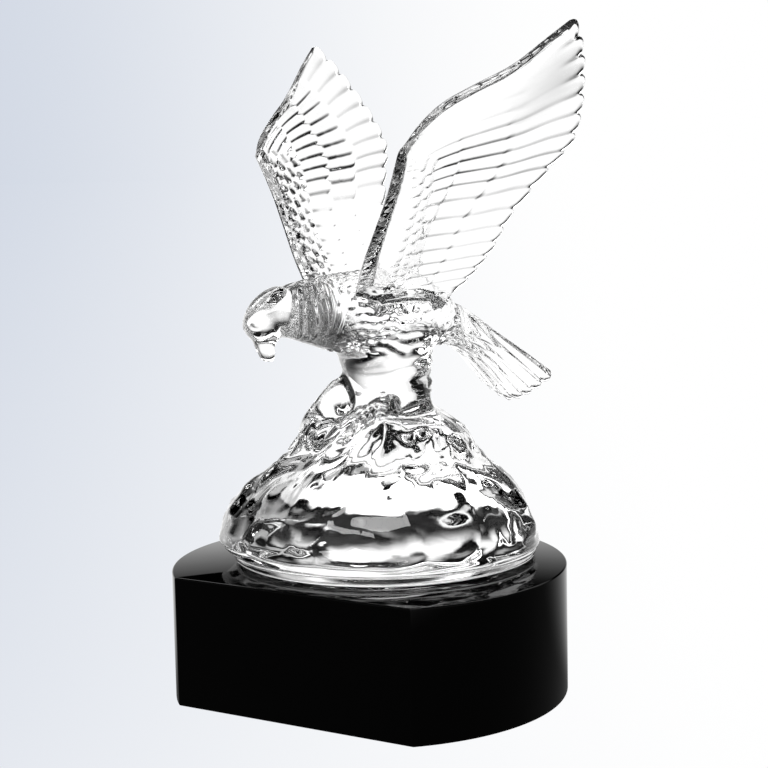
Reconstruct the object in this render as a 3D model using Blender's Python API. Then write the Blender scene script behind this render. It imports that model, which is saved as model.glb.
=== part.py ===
"""Crystal eagle award: a clear cast-glass eagle with raised wings, one piece with the rock under it.

It stands on a black glass plinth.

Run it with blender --background --python part.py, or from Blender's text editor.
Metres, +Z up. The origin is the centre of the plinth's round underside, and -Y is its flat front.
The eagle is shaped in its own frame, in millimetres: +X is where it faces, +Y its left, +Z up, and z = 0 is the
underside of the glass.
"""

import math

import bmesh
import bpy
import numpy as np
from mathutils import Vector, noise

MM = 0.001

# Plinth, in millimetres
PLINTH_RADIUS = 70.0
PLINTH_HEIGHT = 45.7
PLINTH_FLAT = 51.5  # from the axis to the flat front face
PLINTH_CHAMFER = 0.6
PLINTH_STEPS = 72

# Where the glass stands on the plinth
GLASS_GAP = 0.3
GLASS_PLACE = (-1.3, 13.0)
GLASS_TURN = 21.0  # degrees that the eagle looks to the right of the plinth's front, its own right

# Rock: radius and height from the foot ring up to the summit
ROCK_PROFILE = (
    (52.4, 0.0),
    (54.4, 0.9),
    (54.6, 2.6),
    (53.6, 3.4),
    (56.4, 4.6),
    (57.8, 8.5),
    (57.0, 14.0),
    (54.4, 20.0),
    (49.4, 25.0),
    (44.0, 30.0),
    (38.0, 34.5),
    (33.6, 39.0),
    (30.0, 44.0),
    (25.5, 48.5),
    (18.0, 52.0),
    (9.0, 54.0),
)
ROCK_FOOT_KEYS = 5  # the first points of the profile keep their corners, and the rest is one smooth line
ROCK_STEPS = 50
ROCK_RINGS = 14
# The belly stands out on the eagle's right front, and the summit on its left rear: heights, and the shift at each
ROCK_LEAN_TOWARDS = -37.7
ROCK_LEAN = ((0.0, 3.4, 8.0, 30.0, 45.0, 60.0), (0.0, 0.0, 2.5, 2.8, -2.0, -3.0))
ROCK_SMOOTH = (5.0, 13.0)  # heights between which the hollows set in, over a foot ring that stays true
ROCK_SCOOPS = ((26.0, 5.5), (13.0, 1.1))  # size and depth of the two grades of chipped hollow
ROCK_LEVELS = ((0.0, 26.0, 60.0), (0.0, 37.0, 58.0))  # heights, and where the hollows take them to be
ROCK_FLOW = 0.25  # how far the hollows' edges wander
ROCK_HOLLOW_MIDDLE = 0.35  # share of a hollow's depth that stands out at its rim
ROCK_TOP_MORE = 2.5  # how much deeper the small hollows are on the upper part
ROCK_TOP_FROM = (26.0, 36.0)  # heights between which they get that deep
ROCK_SUMMIT = (-7.0, 1.0, 46.5)  # the boss under the legs
ROCK_SUMMIT_SIZE = (20.0, 16.0, 9.0)
ROCK_BOULDER = (21.0, -1.0, 42.0)  # the smooth boulder between the feet
ROCK_BOULDER_SIZE = (8.0, 7.5, 7.5)

# Torso and neck: forward, left, up, half height, half width, from the tail to inside the head
TORSO = (
    (-42.0, 0.0, 71.8, 1.2, 4.5),
    (-34.0, 0.0, 77.8, 4.2, 7.6),
    (-26.0, 0.0, 82.0, 8.2, 10.8),
    (-17.0, 0.0, 85.0, 11.6, 14.2),
    (-7.0, 0.0, 87.0, 14.0, 16.8),
    (3.0, 0.0, 88.0, 14.6, 17.8),
    (12.0, 0.0, 88.3, 14.2, 17.2),
    (21.0, 0.0, 88.8, 13.2, 14.8),
    (30.0, -0.8, 89.8, 11.4, 11.6),
    (38.0, -2.0, 90.2, 9.4, 8.6),
    (46.0, -3.0, 89.4, 7.4, 6.0),
)
TORSO_SQUARENESS = 2.5  # of its upper half; the lower one is round
TORSO_RINGS = 22
TORSO_SIDES = 20

# Head: height of each level slice over the head's centre, its front, its back and its half width
HEAD_PLACE = (47.6, -3.0, 89.5)
HEAD_TURN = -20.0
HEAD = (
    (9.4, -1.2, -5.8, 4.2),
    (8.2, 1.6, -8.0, 5.8),
    (5.5, 3.9, -9.0, 6.4),
    (2.7, 5.6, -9.0, 6.6),
    (-0.9, 7.0, -8.5, 6.5),
    (-3.3, 7.4, -8.0, 6.3),
    (-4.9, 7.0, -7.4, 5.9),
    (-6.9, 5.6, -6.0, 4.2),
    (-8.4, 4.5, -4.2, 3.0),
    (-10.5, 3.6, -3.2, 2.8),
    (-12.6, 2.2, -2.7, 2.5),
    (-14.5, 1.0, -2.3, 2.0),
    (-15.7, -0.4, -1.8, 0.9),
)
HEAD_SQUARENESS = 2.4
HEAD_SIDES = 16
EYE_PLACE = (4.0, 4.7, -2.6)
EYE_RADIUS = 1.5

# Wing outline in the wing's own plane, forward and up: the leading edges of the arm and the hand, and the
# trailing edge
WING_ARM = (
    (20.0, 84.0),
    (21.6, 96.3),
    (22.6, 107.0),
    (22.4, 117.8),
    (22.2, 127.5),
    (22.5, 133.5),
    (22.9, 137.6),
    (23.2, 140.6),
    (23.4, 142.6),
    (23.4, 144.0),
)
WING_HAND = (
    (23.4, 144.0),
    (18.6, 151.5),
    (10.8, 159.1),
    (1.5, 165.2),
    (-8.0, 171.3),
    (-17.0, 179.2),
    (-24.5, 185.5),
)
WING_TRAIL = (
    (-10.0, 84.0),
    (-21.0, 98.5),
    (-27.0, 110.0),
    (-29.5, 122.0),
    (-37.0, 136.0),
    (-43.0, 146.5),
    (-41.5, 157.5),
    (-37.0, 168.0),
    (-31.5, 177.5),
    (-24.5, 185.5),
)
WING_ROOT_LEFT = 17.1  # how far left the wing's plane is at WING_PLANE_AT, and its two slopes
WING_PLANE_AT = (21.0, 101.0)
WING_LEAN = 0.59
WING_SWEEP = 0.125
WING_CAMBER = 1.0
# How far the leading edge past the wrist turns in from that plane, and how much of the hand it takes
WING_TUCK = 5.3
WING_TUCK_SPAN = 0.75
WING_PLATE = (2.1, 1.9)  # half thickness at the root and at the tip
# Half thickness of the bevelled leading edge at the root and at the tip, and the bevel's width at both
LEFT_EDGE = (4.6, 3.0, 9.2, 7.0)
RIGHT_EDGE = (2.7, 2.1, 3.2, 2.8)
RIM_TIP_LESS = 0.4  # how much slimmer the bevel gets towards the wing's tip
BEVEL_TIP_LESS = 0.56  # and how much narrower
BEVEL_POWER = 1.1  # above 1 the bevel's face is slightly hollow next to the edge
WING_NOSE = 0.8  # radius of the edge itself
WING_THIN_FROM = (0.55, 1.0)  # where the plate thins out to its trailing edge, across the wing
WING_TAPER = 22.0  # how far behind the bevel the plate takes to come down to its own thickness
WING_TRAIL_HALF = 1.4
WING_TRAIL_ROUND = 1.8
WING_ROWS = (0.37, 0.61)  # where the two rows of coverts end, across the wing
ROW_STEP = 0.25  # how far each row stands over the next
FEATHERS = 16
FEATHERS_FROM = 0.1
FEATHER_GROWTH = 1.3  # how much wider the feathers are towards the tip
FEATHER_CREST = 0.4
FEATHER_FLANK = 0.35  # share of a feather's width that its steep lower flank takes
FEATHER_FALL = 0.85  # share of its height that it loses towards its upper edge, and how late
FEATHER_FALL_POWER = 1.4
FEATHER_TIP = 1.8  # how far the tips stand out past the trailing edge
FEATHER_TIP_FROM = 0.85  # where the tips begin, across the wing, and how soon they reach full length
FEATHER_TIP_SOFT = 0.15
FEATHER_TIPS_TO = 0.999  # they leave out the very end of the hand
CARVING_IN = 3.0  # how far past the bevel the feathers reach their full height
CARVING_FROM_ROOT = 0.2  # and how far along the wing
ROW_END_SOFT = 0.03  # how far across the wing a row's end slopes
RINGS_PER_FEATHER = 3
WING_ACROSS = (0.0, 0.015, 0.08, 0.16, 0.36, 0.395, 0.6, 0.635, 0.86, 0.97, 1.0)

# Tail: a fan that slopes down behind, its two sides swept up
TAIL_ROOT = (-22.0, 84.6)  # forward and up, on the middle line, and the same for the end
TAIL_END = (-60.5, 52.0)
TAIL_HALF_WIDTH = (8.0, 23.5)
TAIL_SWEEP_UP = (4.0, 11.0)  # how far the sides stand over the middle line, at the root and at the end
TAIL_DROOP = 2.0
TAIL_LENGTH = math.dist(TAIL_ROOT, TAIL_END)
TAIL_HALF_THICK = (3.6, 1.2)
TAIL_FEATHERS = 9
TAIL_CREST = 0.6
TAIL_TIP = 2.2
TAIL_TIPS_FROM = (0.6, 1.0)  # where its tips begin, along the tail
RINGS_PER_TAIL_FEATHER = 3
TAIL_ALONG = (0.0, 0.12, 0.26, 0.42, 0.58, 0.74, 0.88, 0.97, 1.0)

# Legs: forward, left, up, half length and half width of each level slice of the left one
LEG = (
    (-1.0, 2.6, 86.6, 22.6, 14.7),
    (-1.0, 2.6, 80.0, 19.5, 14.8),
    (-1.4, 2.6, 73.0, 15.6, 14.4),
    (-2.4, 2.6, 66.0, 13.4, 14.0),
    (-3.4, 2.6, 59.0, 12.8, 13.8),
    (-4.0, 2.8, 51.0, 13.2, 13.8),
    (-4.0, 3.0, 44.0, 14.0, 14.0),
)
RIGHT_LEG_FORWARD = 1.0
LEG_SIDES = 16

# Feet: forward and left of each ankle, the shank's slices from there, then heading and length of each toe
LEFT_ANKLE = (7.0, 10.0)
RIGHT_ANKLE = (17.0, -9.5)
LEFT_TOES = ((-20.0, 18.0), (6.0, 16.0), (44.0, 13.0))
RIGHT_TOES = ((24.0, 12.0), (-8.0, 12.0), (-44.0, 11.0))
TOE_RADIUS = (2.9, 2.1)
TALON_LENGTH = 4.0
TALON_BLUNT = 0.03  # square of the share of its width that the talon ends with
TOE_LIFT = 0.8  # height of a toe's middle line over the rock, and how much it arches
TOE_ARCH = 1.4
TOE_RINGS = 7
TOE_SIDES = 7
SHANK = ((-10.0, 60.0, 5.0), (-4.0, 56.6, 5.4), (2.0, 51.6, 5.4), (7.0, 47.4, 5.0), (10.0, 44.5, 4.0))
SHANK_SIZE = (1.0, 1.3)  # how much wider the left and the right shank are than that
SHANK_SIDES = 10


def curve(keys, where):
    """A smooth line through evenly spaced keys, at places from 0 to 1."""
    keys = np.asarray(keys, float)
    places = np.asarray(where, float) * (len(keys) - 1)
    start = np.clip(places.astype(int), 0, len(keys) - 2)
    slopes = np.gradient(keys, axis=0)
    u = (places - start)[..., None]
    a, b = keys[start], keys[start + 1]
    return (
        a * (1 + 2 * u) * (1 - u) ** 2
        + b * u * u * (3 - 2 * u)
        + slopes[start] * u * (1 - u) ** 2
        + slopes[start + 1] * u * u * (u - 1)
    )


def ease(x):
    """0 below 0, 1 above 1, and smooth between."""
    x = np.clip(x, 0, 1)
    return x * x * (3 - 2 * x)


def rise_between(x, ends):
    """0 up to the first end, 1 from the second, and smooth between."""
    return ease((x - ends[0]) / (ends[1] - ends[0]))


def crest(x):
    """The ridge of one feather, steep at its lower edge, x = -1, and sloping gently to its upper one, x = 1."""
    u = (x + 1) / 2
    return ease(u / FEATHER_FLANK) * (1 - FEATHER_FALL * u**FEATHER_FALL_POWER)


def dome(distance):
    """The height of a round edge, where distance is 0 at its top and 1 at its foot."""
    return np.sqrt(np.clip(1 - distance**2, 0, 1))


def feather_number(s):
    """How many feathers lie between the wing's root and s."""
    return FEATHERS * (np.clip(s - FEATHERS_FROM, 0, 1) / (1 - FEATHERS_FROM)) ** (1 / FEATHER_GROWTH)


def feather_start(number):
    return FEATHERS_FROM + (1 - FEATHERS_FROM) * (number / FEATHERS) ** FEATHER_GROWTH


def across_feather(s):
    """Where s falls across its own feather, -1 to 1."""
    return 2 * ((np.minimum(feather_number(s), FEATHERS - 1e-6) + 1e-9) % 1) - 1


def new_object(name, points, faces):
    """A smooth-shaded mesh object of points in the eagle's frame, with its faces turned outwards."""
    mesh = bpy.data.meshes.new(name)
    mesh.from_pydata([tuple(p) for p in np.asarray(points) * MM], [], faces)
    work = bmesh.new()
    work.from_mesh(mesh)
    bmesh.ops.recalc_face_normals(work, faces=work.faces)
    work.to_mesh(mesh)
    work.free()
    mesh.shade_smooth()
    obj = bpy.data.objects.new(name, mesh)
    bpy.context.scene.collection.objects.link(obj)
    return obj


def loft(name, rings):
    """A closed skin through rings of points, each end closed by a fan about its middle."""
    rings = np.asarray(rings)
    count, sides = rings.shape[:2]
    points = np.vstack([rings.reshape(-1, 3), rings[0].mean(0), rings[-1].mean(0)])
    faces = []
    for j in range(sides):
        k = (j + 1) % sides
        for i in range(count - 1):
            faces.append((i * sides + j, i * sides + k, (i + 1) * sides + k, (i + 1) * sides + j))
        last = (count - 1) * sides
        faces.append((count * sides, k, j))
        faces.append((count * sides + 1, last + j, last + k))
    return new_object(name, points, faces)


def plate(name, front, back):
    """A closed skin of two grids of points that meet along their border."""
    rows, columns = front.shape[:2]
    border = np.ones((rows, columns), bool)
    border[1:-1, 1:-1] = False
    front_index = np.arange(rows * columns).reshape(rows, columns)
    back_index = front_index.copy()
    back_index[~border] = rows * columns + np.arange((~border).sum())
    points = np.vstack([front.reshape(-1, 3), back[~border]])
    faces = []
    for i in range(rows - 1):
        for j in range(columns - 1):
            for index in (front_index, back_index):
                face = (index[i, j], index[i + 1, j], index[i + 1, j + 1], index[i, j + 1])
                faces.append(tuple(int(v) for v in face))
    return new_object(name, points, faces)


def superellipse(sides, power):
    """Evenly spaced points round a squared circle of radius 1, as (across, up)."""
    turn = np.linspace(0, 2 * math.pi, 40 * sides + 1)
    c, s = np.cos(turn), np.sin(turn)
    across, up = np.sign(c) * abs(c) ** (2 / power), np.sign(s) * abs(s) ** (2 / power)
    length = np.concatenate([[0], np.cumsum(np.hypot(np.diff(across), np.diff(up)))])
    places = np.arange(sides) * length[-1] / sides
    return np.interp(places, length, across), np.interp(places, length, up)


def rock_chip(point):
    """How far the rock's surface is chipped at a point of its plain form."""
    depth = 0.0
    level = float(np.interp(point[2], *ROCK_LEVELS))
    top = float(rise_between(point[2], ROCK_TOP_FROM))
    for k, (size, deep) in enumerate(ROCK_SCOOPS):
        cell = Vector((point[0], point[1], level)) / size
        cell += ROCK_FLOW * noise.noise_vector(cell * 0.8)
        nearest = noise.voronoi(cell)[0][0]
        depth += deep * (1 + k * ROCK_TOP_MORE * top) * (min(nearest, 1.0) ** 2 - ROCK_HOLLOW_MIDDLE)
    return depth * float(rise_between(point[2], ROCK_SMOOTH))


def rock_centre(height):
    """Where the rock's axis is at a height."""
    towards = math.radians(ROCK_LEAN_TOWARDS)
    return float(np.interp(height, *ROCK_LEAN)) * np.array([math.cos(towards), math.sin(towards)])


def rock():
    """The rock: a turned bell on a foot ring, chipped into shallow hollows."""
    turn = np.arange(ROCK_STEPS) * 2 * math.pi / ROCK_STEPS
    foot, bell = ROCK_PROFILE[:ROCK_FOOT_KEYS], ROCK_PROFILE[ROCK_FOOT_KEYS - 1 :]
    rings = []
    for radius, height in [*foot[:-1], *curve(bell, np.linspace(0, 1, ROCK_RINGS))]:
        out, rise = Vector((radius, height + 10)).normalized()
        ring = []
        for angle in turn:
            x, y = math.cos(angle), math.sin(angle)
            chip = rock_chip((radius * x, radius * y, height))
            middle = rock_centre(height)
            reach = radius + out * chip
            ring.append((middle[0] + reach * x, middle[1] + reach * y, height + rise * chip))
        rings.append(ring)
    return loft("crystal_eagle", rings)


def rock_height(x, y):
    """Height of the rock's plain form at a place on its upper part."""
    radius, height = np.array(ROCK_PROFILE[6:])[::-1].T
    found = 45.0
    for _ in range(4):
        found = float(np.interp(math.hypot(*(np.array([x, y]) - rock_centre(found))), radius, height))
    return found


def ellipsoid(name, centre, size, steps):
    rings = []
    for k in range(1, steps):
        polar = math.pi * k / steps
        turn = np.arange(2 * steps) * math.pi / steps
        ring = np.stack(
            [np.cos(turn) * math.sin(polar), np.sin(turn) * math.sin(polar), np.full(2 * steps, math.cos(polar))], 1
        )
        rings.append(ring * size + centre)
    return loft(name, rings)


def torso():
    """Body and neck, from the root of the tail to inside the head."""
    path = curve(TORSO, np.linspace(0, 1, TORSO_RINGS))
    along = np.gradient(path[:, :3], axis=0)
    across, up = superellipse(TORSO_SIDES, TORSO_SQUARENESS)
    below = np.where(up < 0, np.hypot(across, up), 1)
    across, up = across / below, up / below
    rings = []
    for (x, y, z, half_height, half_width), direction in zip(path, along):
        forward = direction / np.linalg.norm(direction)
        left = np.cross((0, 0, 1), forward)
        left /= np.linalg.norm(left)
        rise = np.cross(forward, left)
        rings.append(
            np.array([x, y, z]) + np.outer(across * half_width, left) + np.outer(up * half_height, rise)
        )
    return loft("torso", rings)


def head():
    """The bowed head and hooked beak, from level slices."""
    along, across = superellipse(HEAD_SIDES, HEAD_SQUARENESS)
    yaw = math.radians(HEAD_TURN)
    rings = []
    for height, front, back, half_width in HEAD:
        forward = (front + back) / 2 + (front - back) / 2 * along
        left = half_width * across
        x = forward * math.cos(yaw) - left * math.sin(yaw)
        y = forward * math.sin(yaw) + left * math.cos(yaw)
        rings.append(np.stack([x, y, np.full(HEAD_SIDES, height)], 1) + HEAD_PLACE)
    return loft("head", rings)


def eye(name, side):
    yaw = math.radians(HEAD_TURN)
    x, y, z = EYE_PLACE[0], side * EYE_PLACE[1], EYE_PLACE[2]
    centre = np.array([x * math.cos(yaw) - y * math.sin(yaw), x * math.sin(yaw) + y * math.cos(yaw), z])
    return ellipsoid(name, centre + HEAD_PLACE, np.full(3, EYE_RADIUS), 4)


def wing_outline(s, t):
    """A point of the wing's outline, s from the root to the hand's edge and t from leading to trailing edge."""
    lead, trail = curve(WING_ARM, s), curve(WING_TRAIL, s)
    hand = curve(WING_HAND, t)
    root_front, root_back = np.array(WING_ARM[0]), np.array(WING_TRAIL[0])
    wrist, tip = np.array(WING_HAND[0]), np.array(WING_HAND[-1])
    s, t = s[..., None], t[..., None]
    root = root_front * (1 - t) + root_back * t
    corners = (root_front * (1 - s) + wrist * s) * (1 - t) + (root_back * (1 - s) + tip * s) * t
    return lead * (1 - t) + trail * t + root * (1 - s) + hand * s - corners


def wing_half_thickness(s, t, chord, inset, rim):
    """Half thickness: a bevelled leading edge, a plate behind it, and a thin round trailing edge."""
    edge = (rim[0] + (rim[1] - rim[0]) * s) * (1 - RIM_TIP_LESS * s * t)
    bevel = (rim[2] + (rim[3] - rim[2]) * s) * (1 - BEVEL_TIP_LESS * s * t)
    middle = WING_PLATE[0] + (WING_PLATE[1] - WING_PLATE[0]) * s
    half = middle + (WING_TRAIL_HALF - middle) * rise_between(t, WING_THIN_FROM)
    front = edge * (1 - (1 - np.clip(inset / bevel, 0, 1)) ** BEVEL_POWER)
    front = front * dome(1 - np.clip(inset / WING_NOSE, 0, 1))
    half = np.where(inset < bevel, front, half + (edge - half) * (1 - ease((inset - bevel) / WING_TAPER)))
    return half * dome(1 - np.clip((1 - t) * chord / WING_TRAIL_ROUND, 0, 1))


def wing_carving(s, t, inset, rim):
    """Height of the feathers over the plate: two rows of coverts over the long feathers."""
    rows = sum(ROW_STEP * (1 - ease((t - end) / ROW_END_SOFT)) for end in WING_ROWS)
    inside = ease((inset - rim[2]) / CARVING_IN) * ease(s / CARVING_FROM_ROOT)
    return (rows + FEATHER_CREST * crest(across_feather(s))) * inside


def wing_middle(place, s, t):
    """The wing's middle surface over a place of its outline."""
    forward, up = place[..., 0], place[..., 1]
    left = WING_ROOT_LEFT + WING_LEAN * (up - WING_PLANE_AT[1]) - WING_SWEEP * (forward - WING_PLANE_AT[0])
    tuck = WING_TUCK * s**3 * np.sin(math.pi * np.minimum(t / WING_TUCK_SPAN, 1)) ** 2
    return np.stack([forward, left + WING_CAMBER * np.sin(math.pi * t) - tuck, up], -1)


def wing(name, side, rim):
    """One wing, a plate carved on both faces. side is 1 for the left wing and -1 for the right one."""
    numbers = np.arange(FEATHERS * RINGS_PER_FEATHER + 1) / RINGS_PER_FEATHER
    s, t = np.meshgrid(np.concatenate([[0.0], feather_start(numbers)]), WING_ACROSS, indexing="ij")
    place = wing_outline(s, t)
    lead, trail = wing_outline(s, 0 * t), wing_outline(s, 0 * t + 1)
    chord = np.linalg.norm(trail - lead, axis=-1)
    to_hand = (1 - s) * np.linalg.norm(wing_outline(0 * s + 1, t) - wing_outline(0 * s + 0.5, t), axis=-1) * 2
    x = across_feather(s)
    tip = FEATHER_TIP * (1 - abs(x) ** 3) * (1 + 0.3 * x) * (1 + s) / 2
    tip = tip * ease((t - FEATHER_TIP_FROM) / FEATHER_TIP_SOFT) * (s < FEATHER_TIPS_TO)
    middle = wing_middle(place + (trail - lead) / chord[..., None] * tip[..., None], s, t)
    outward = np.array([WING_SWEEP, 1, -WING_LEAN])
    outward /= np.linalg.norm(outward)
    inset = np.minimum(t * chord, to_hand)
    half = wing_half_thickness(s, t, chord, inset, rim) + wing_carving(s, t, inset, rim) * (t < 1)
    thick = half[..., None] * outward
    thick[0], thick[-1] = 0, 0
    thick[:, 0], thick[:, -1] = 0, 0
    flip = np.array([1, side, 1])
    return plate(name, (middle + thick) * flip, (middle - thick) * flip)


def tail_point(d, v):
    """A point of the tail's middle, d from its root to its end and v from its right side, -1, to its left, 1."""
    x = across_tail_feather(v)
    reach = d + TAIL_TIP / TAIL_LENGTH * (1 - x * x) * rise_between(d, TAIL_TIPS_FROM)
    width = TAIL_HALF_WIDTH[0] + (TAIL_HALF_WIDTH[1] - TAIL_HALF_WIDTH[0]) * d
    sweep = TAIL_SWEEP_UP[0] + (TAIL_SWEEP_UP[1] - TAIL_SWEEP_UP[0]) * d
    forward = TAIL_ROOT[0] + (TAIL_END[0] - TAIL_ROOT[0]) * reach
    up = TAIL_ROOT[1] + (TAIL_END[1] - TAIL_ROOT[1]) * reach
    return np.stack([forward, v * width, up + sweep * abs(v) ** 1.5 + TAIL_DROOP * np.sin(math.pi * d)], -1)


def across_tail_feather(v):
    """Where v falls across its own tail feather, -1 to 1."""
    return 2 * (np.clip((v + 1) / 2, 0, 0.9999) * TAIL_FEATHERS % 1) - 1


def tail():
    """The tail: a fan of feathers, thick at its root and round at its sides."""
    v = np.linspace(-1, 1, TAIL_FEATHERS * RINGS_PER_TAIL_FEATHER + 1)
    d, v = np.meshgrid(TAIL_ALONG, v, indexing="ij")
    middle = tail_point(d, v)
    rounded = np.sqrt(1 - (1 - np.clip((1 - abs(v)) * 5, 0, 1)) ** 2)
    half = TAIL_HALF_THICK[0] + (TAIL_HALF_THICK[1] - TAIL_HALF_THICK[0]) * ease(d * 1.5)
    half = (half + TAIL_CREST * (1 - across_tail_feather(v) ** 2) * ease(d * 3)) * rounded
    half[0] = 0
    half[-1] = 0
    slope = math.atan2(TAIL_ROOT[1] - TAIL_END[1], TAIL_ROOT[0] - TAIL_END[0])
    thick = half[..., None] * np.array([-math.sin(slope), 0, math.cos(slope)])
    return plate("tail", middle + thick, middle - thick)


def leg(name, side, forward):
    """A feathered leg, flared where it joins the body."""
    turn = np.arange(LEG_SIDES) * 2 * math.pi / LEG_SIDES
    rings = []
    for x, y, z, half_length, half_width in LEG:
        ring = [x + forward + half_length * np.cos(turn), y + half_width * np.sin(turn), np.full(LEG_SIDES, z)]
        rings.append(np.stack(ring, 1) * (1, side, 1))
    return loft(name, rings)


def shank(name, ankle, size):
    """The smooth shank, which slopes forward from under the leg's feathers to the toes."""
    turn = np.arange(SHANK_SIDES) * 2 * math.pi / SHANK_SIDES
    rings = []
    for along, height, radius in SHANK:
        across, up = radius * size * np.cos(turn), radius * size * np.sin(turn)
        ring = [ankle[0] + along + 0 * turn, ankle[1] + across, height + up]
        rings.append(np.stack(ring, 1))
    return loft(name, rings)


def toe(name, ankle, heading, length):
    """One toe, from under the shank over the rock, ending in a talon."""
    turn = math.radians(heading)
    ahead = np.array([math.cos(turn), math.sin(turn)])
    across = np.array([-ahead[1], ahead[0], 0])
    circle = np.arange(TOE_SIDES) * 2 * math.pi / TOE_SIDES
    rings = []
    for reach in np.linspace(0, length + TALON_LENGTH, TOE_RINGS):
        share = min(reach / length, 1)
        radius = TOE_RADIUS[0] + (TOE_RADIUS[1] - TOE_RADIUS[0]) * share
        radius *= math.sqrt(max(TALON_BLUNT, 1 - max(0, reach - length) / TALON_LENGTH))
        x, y = ankle + ahead * reach
        centre = np.array([x, y, rock_height(x, y) + TOE_LIFT + TOE_ARCH * math.sin(math.pi * share)])
        rings.append(centre + radius * (np.outer(np.cos(circle), across) + np.outer(np.sin(circle), (0, 0, 1))))
    return loft(name, rings)


def plinth():
    """The plinth: a round block with one flat face, its rims lightly chamfered."""
    half_flat = math.acos(PLINTH_FLAT / PLINTH_RADIUS)
    start, sweep = -math.pi / 2 + half_flat, 2 * math.pi - 2 * half_flat
    work = bmesh.new()
    rim = [
        work.verts.new(
            (
                PLINTH_RADIUS * MM * math.cos(start + sweep * k / PLINTH_STEPS),
                PLINTH_RADIUS * MM * math.sin(start + sweep * k / PLINTH_STEPS),
                0,
            )
        )
        for k in range(PLINTH_STEPS + 1)
    ]
    base = work.faces.new(rim)
    raised = bmesh.ops.extrude_face_region(work, geom=[base])["geom"]
    top = [v for v in raised if isinstance(v, bmesh.types.BMVert)]
    bmesh.ops.translate(work, verts=top, vec=(0, 0, PLINTH_HEIGHT * MM))
    rims = [e for e in work.edges if abs(e.verts[0].co.z - e.verts[1].co.z) < MM]
    bmesh.ops.bevel(work, geom=rims, offset=PLINTH_CHAMFER * MM, segments=1, affect="EDGES")
    bmesh.ops.recalc_face_normals(work, faces=work.faces)
    mesh = bpy.data.meshes.new("black_glass_plinth")
    work.to_mesh(mesh)
    work.free()
    mesh.shade_smooth()
    mesh.set_sharp_from_angle(angle=math.radians(30))
    obj = bpy.data.objects.new("black_glass_plinth", mesh)
    bpy.context.scene.collection.objects.link(obj)
    return obj


def unite(target, other):
    """Joins another solid to the target, which keeps it as a hidden helper."""
    other.hide_render = True
    other.display_type = "WIRE"
    other.parent = target
    join = target.modifiers.new(other.name, "BOOLEAN")
    join.operation = "UNION"
    join.solver = "EXACT"
    join.object = other


def material(name, colour, roughness, transmission):
    made = bpy.data.materials.new(name)
    made.use_nodes = True
    shader = made.node_tree.nodes["Principled BSDF"]
    shader.inputs["Base Color"].default_value = (*colour, 1)
    shader.inputs["Roughness"].default_value = roughness
    shader.inputs["Metallic"].default_value = 0
    shader.inputs["IOR"].default_value = 1.52
    shader.inputs["Transmission Weight"].default_value = transmission
    return made


def build():
    for obj in list(bpy.data.objects):
        bpy.data.objects.remove(obj)

    base = plinth()
    base.data.materials.append(material("black_glass", (0.006, 0.006, 0.007), 0.04, 0))

    eagle = rock()
    eagle.data.materials.append(material("clear_crystal", (0.98, 0.99, 0.99), 0.0, 1))
    parts = [
        ellipsoid("rock_summit", ROCK_SUMMIT, ROCK_SUMMIT_SIZE, 8),
        ellipsoid("rock_boulder", ROCK_BOULDER, ROCK_BOULDER_SIZE, 7),
        torso(),
        head(),
        eye("eye_left", 1),
        eye("eye_right", -1),
        wing("wing_left", 1, LEFT_EDGE),
        wing("wing_right", -1, RIGHT_EDGE),
        tail(),
        leg("leg_left", 1, 0),
        leg("leg_right", -1, RIGHT_LEG_FORWARD),
    ]
    for side, ankle, toes in (("left", LEFT_ANKLE, LEFT_TOES), ("right", RIGHT_ANKLE, RIGHT_TOES)):
        parts.append(shank(f"shank_{side}", ankle, SHANK_SIZE[side == "right"]))
        for k, (heading, length) in enumerate(toes):
            parts.append(toe(f"toe_{side}_{k + 1}", ankle, heading, length))
    for part in parts:
        unite(eagle, part)
    eagle.location = Vector((*GLASS_PLACE, PLINTH_HEIGHT + GLASS_GAP)) * MM
    eagle.rotation_euler.z = math.radians(-90 - GLASS_TURN)


build()
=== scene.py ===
"""The looks of the crystal eagle award: clear cast glass, carved with feathers over a chipped rock, on black glass.

Blender's units are metres. The eagle is shaped in its own frame, in millimetres, as in the part's source: +X is
where it faces, +Y its left, +Z up, and z = 0 the underside of the glass. The finer relief is only here, and a few
sizes are tuned here for how the glass looks. A pair for rise() or fall() says where a change starts or ends, and
over what stretch it happens.
"""

import math

import bpy
import numpy as np
from mathutils import Matrix, Vector, noise

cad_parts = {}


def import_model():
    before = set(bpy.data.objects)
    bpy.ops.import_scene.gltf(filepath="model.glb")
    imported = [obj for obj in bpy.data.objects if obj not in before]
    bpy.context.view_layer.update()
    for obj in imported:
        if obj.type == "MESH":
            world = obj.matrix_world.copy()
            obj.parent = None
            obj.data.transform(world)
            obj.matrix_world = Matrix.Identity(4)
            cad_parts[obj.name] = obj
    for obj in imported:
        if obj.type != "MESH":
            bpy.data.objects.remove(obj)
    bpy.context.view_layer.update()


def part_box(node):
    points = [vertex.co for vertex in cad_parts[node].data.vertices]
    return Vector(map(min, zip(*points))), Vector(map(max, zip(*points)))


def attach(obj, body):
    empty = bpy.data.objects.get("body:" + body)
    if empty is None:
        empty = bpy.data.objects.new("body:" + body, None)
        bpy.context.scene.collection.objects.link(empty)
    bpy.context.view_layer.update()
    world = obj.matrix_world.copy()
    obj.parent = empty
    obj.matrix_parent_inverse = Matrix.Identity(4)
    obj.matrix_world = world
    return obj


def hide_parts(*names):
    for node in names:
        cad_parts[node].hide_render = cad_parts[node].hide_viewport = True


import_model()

MM = 0.001
FAR = 99.0  # past the reach of any detail

# Where the glass stands on the plinth
GLASS_PLACE = (-1.3, 13.0)
GLASS_TURN = 21.0  # degrees that the eagle looks to the plinth's right

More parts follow.
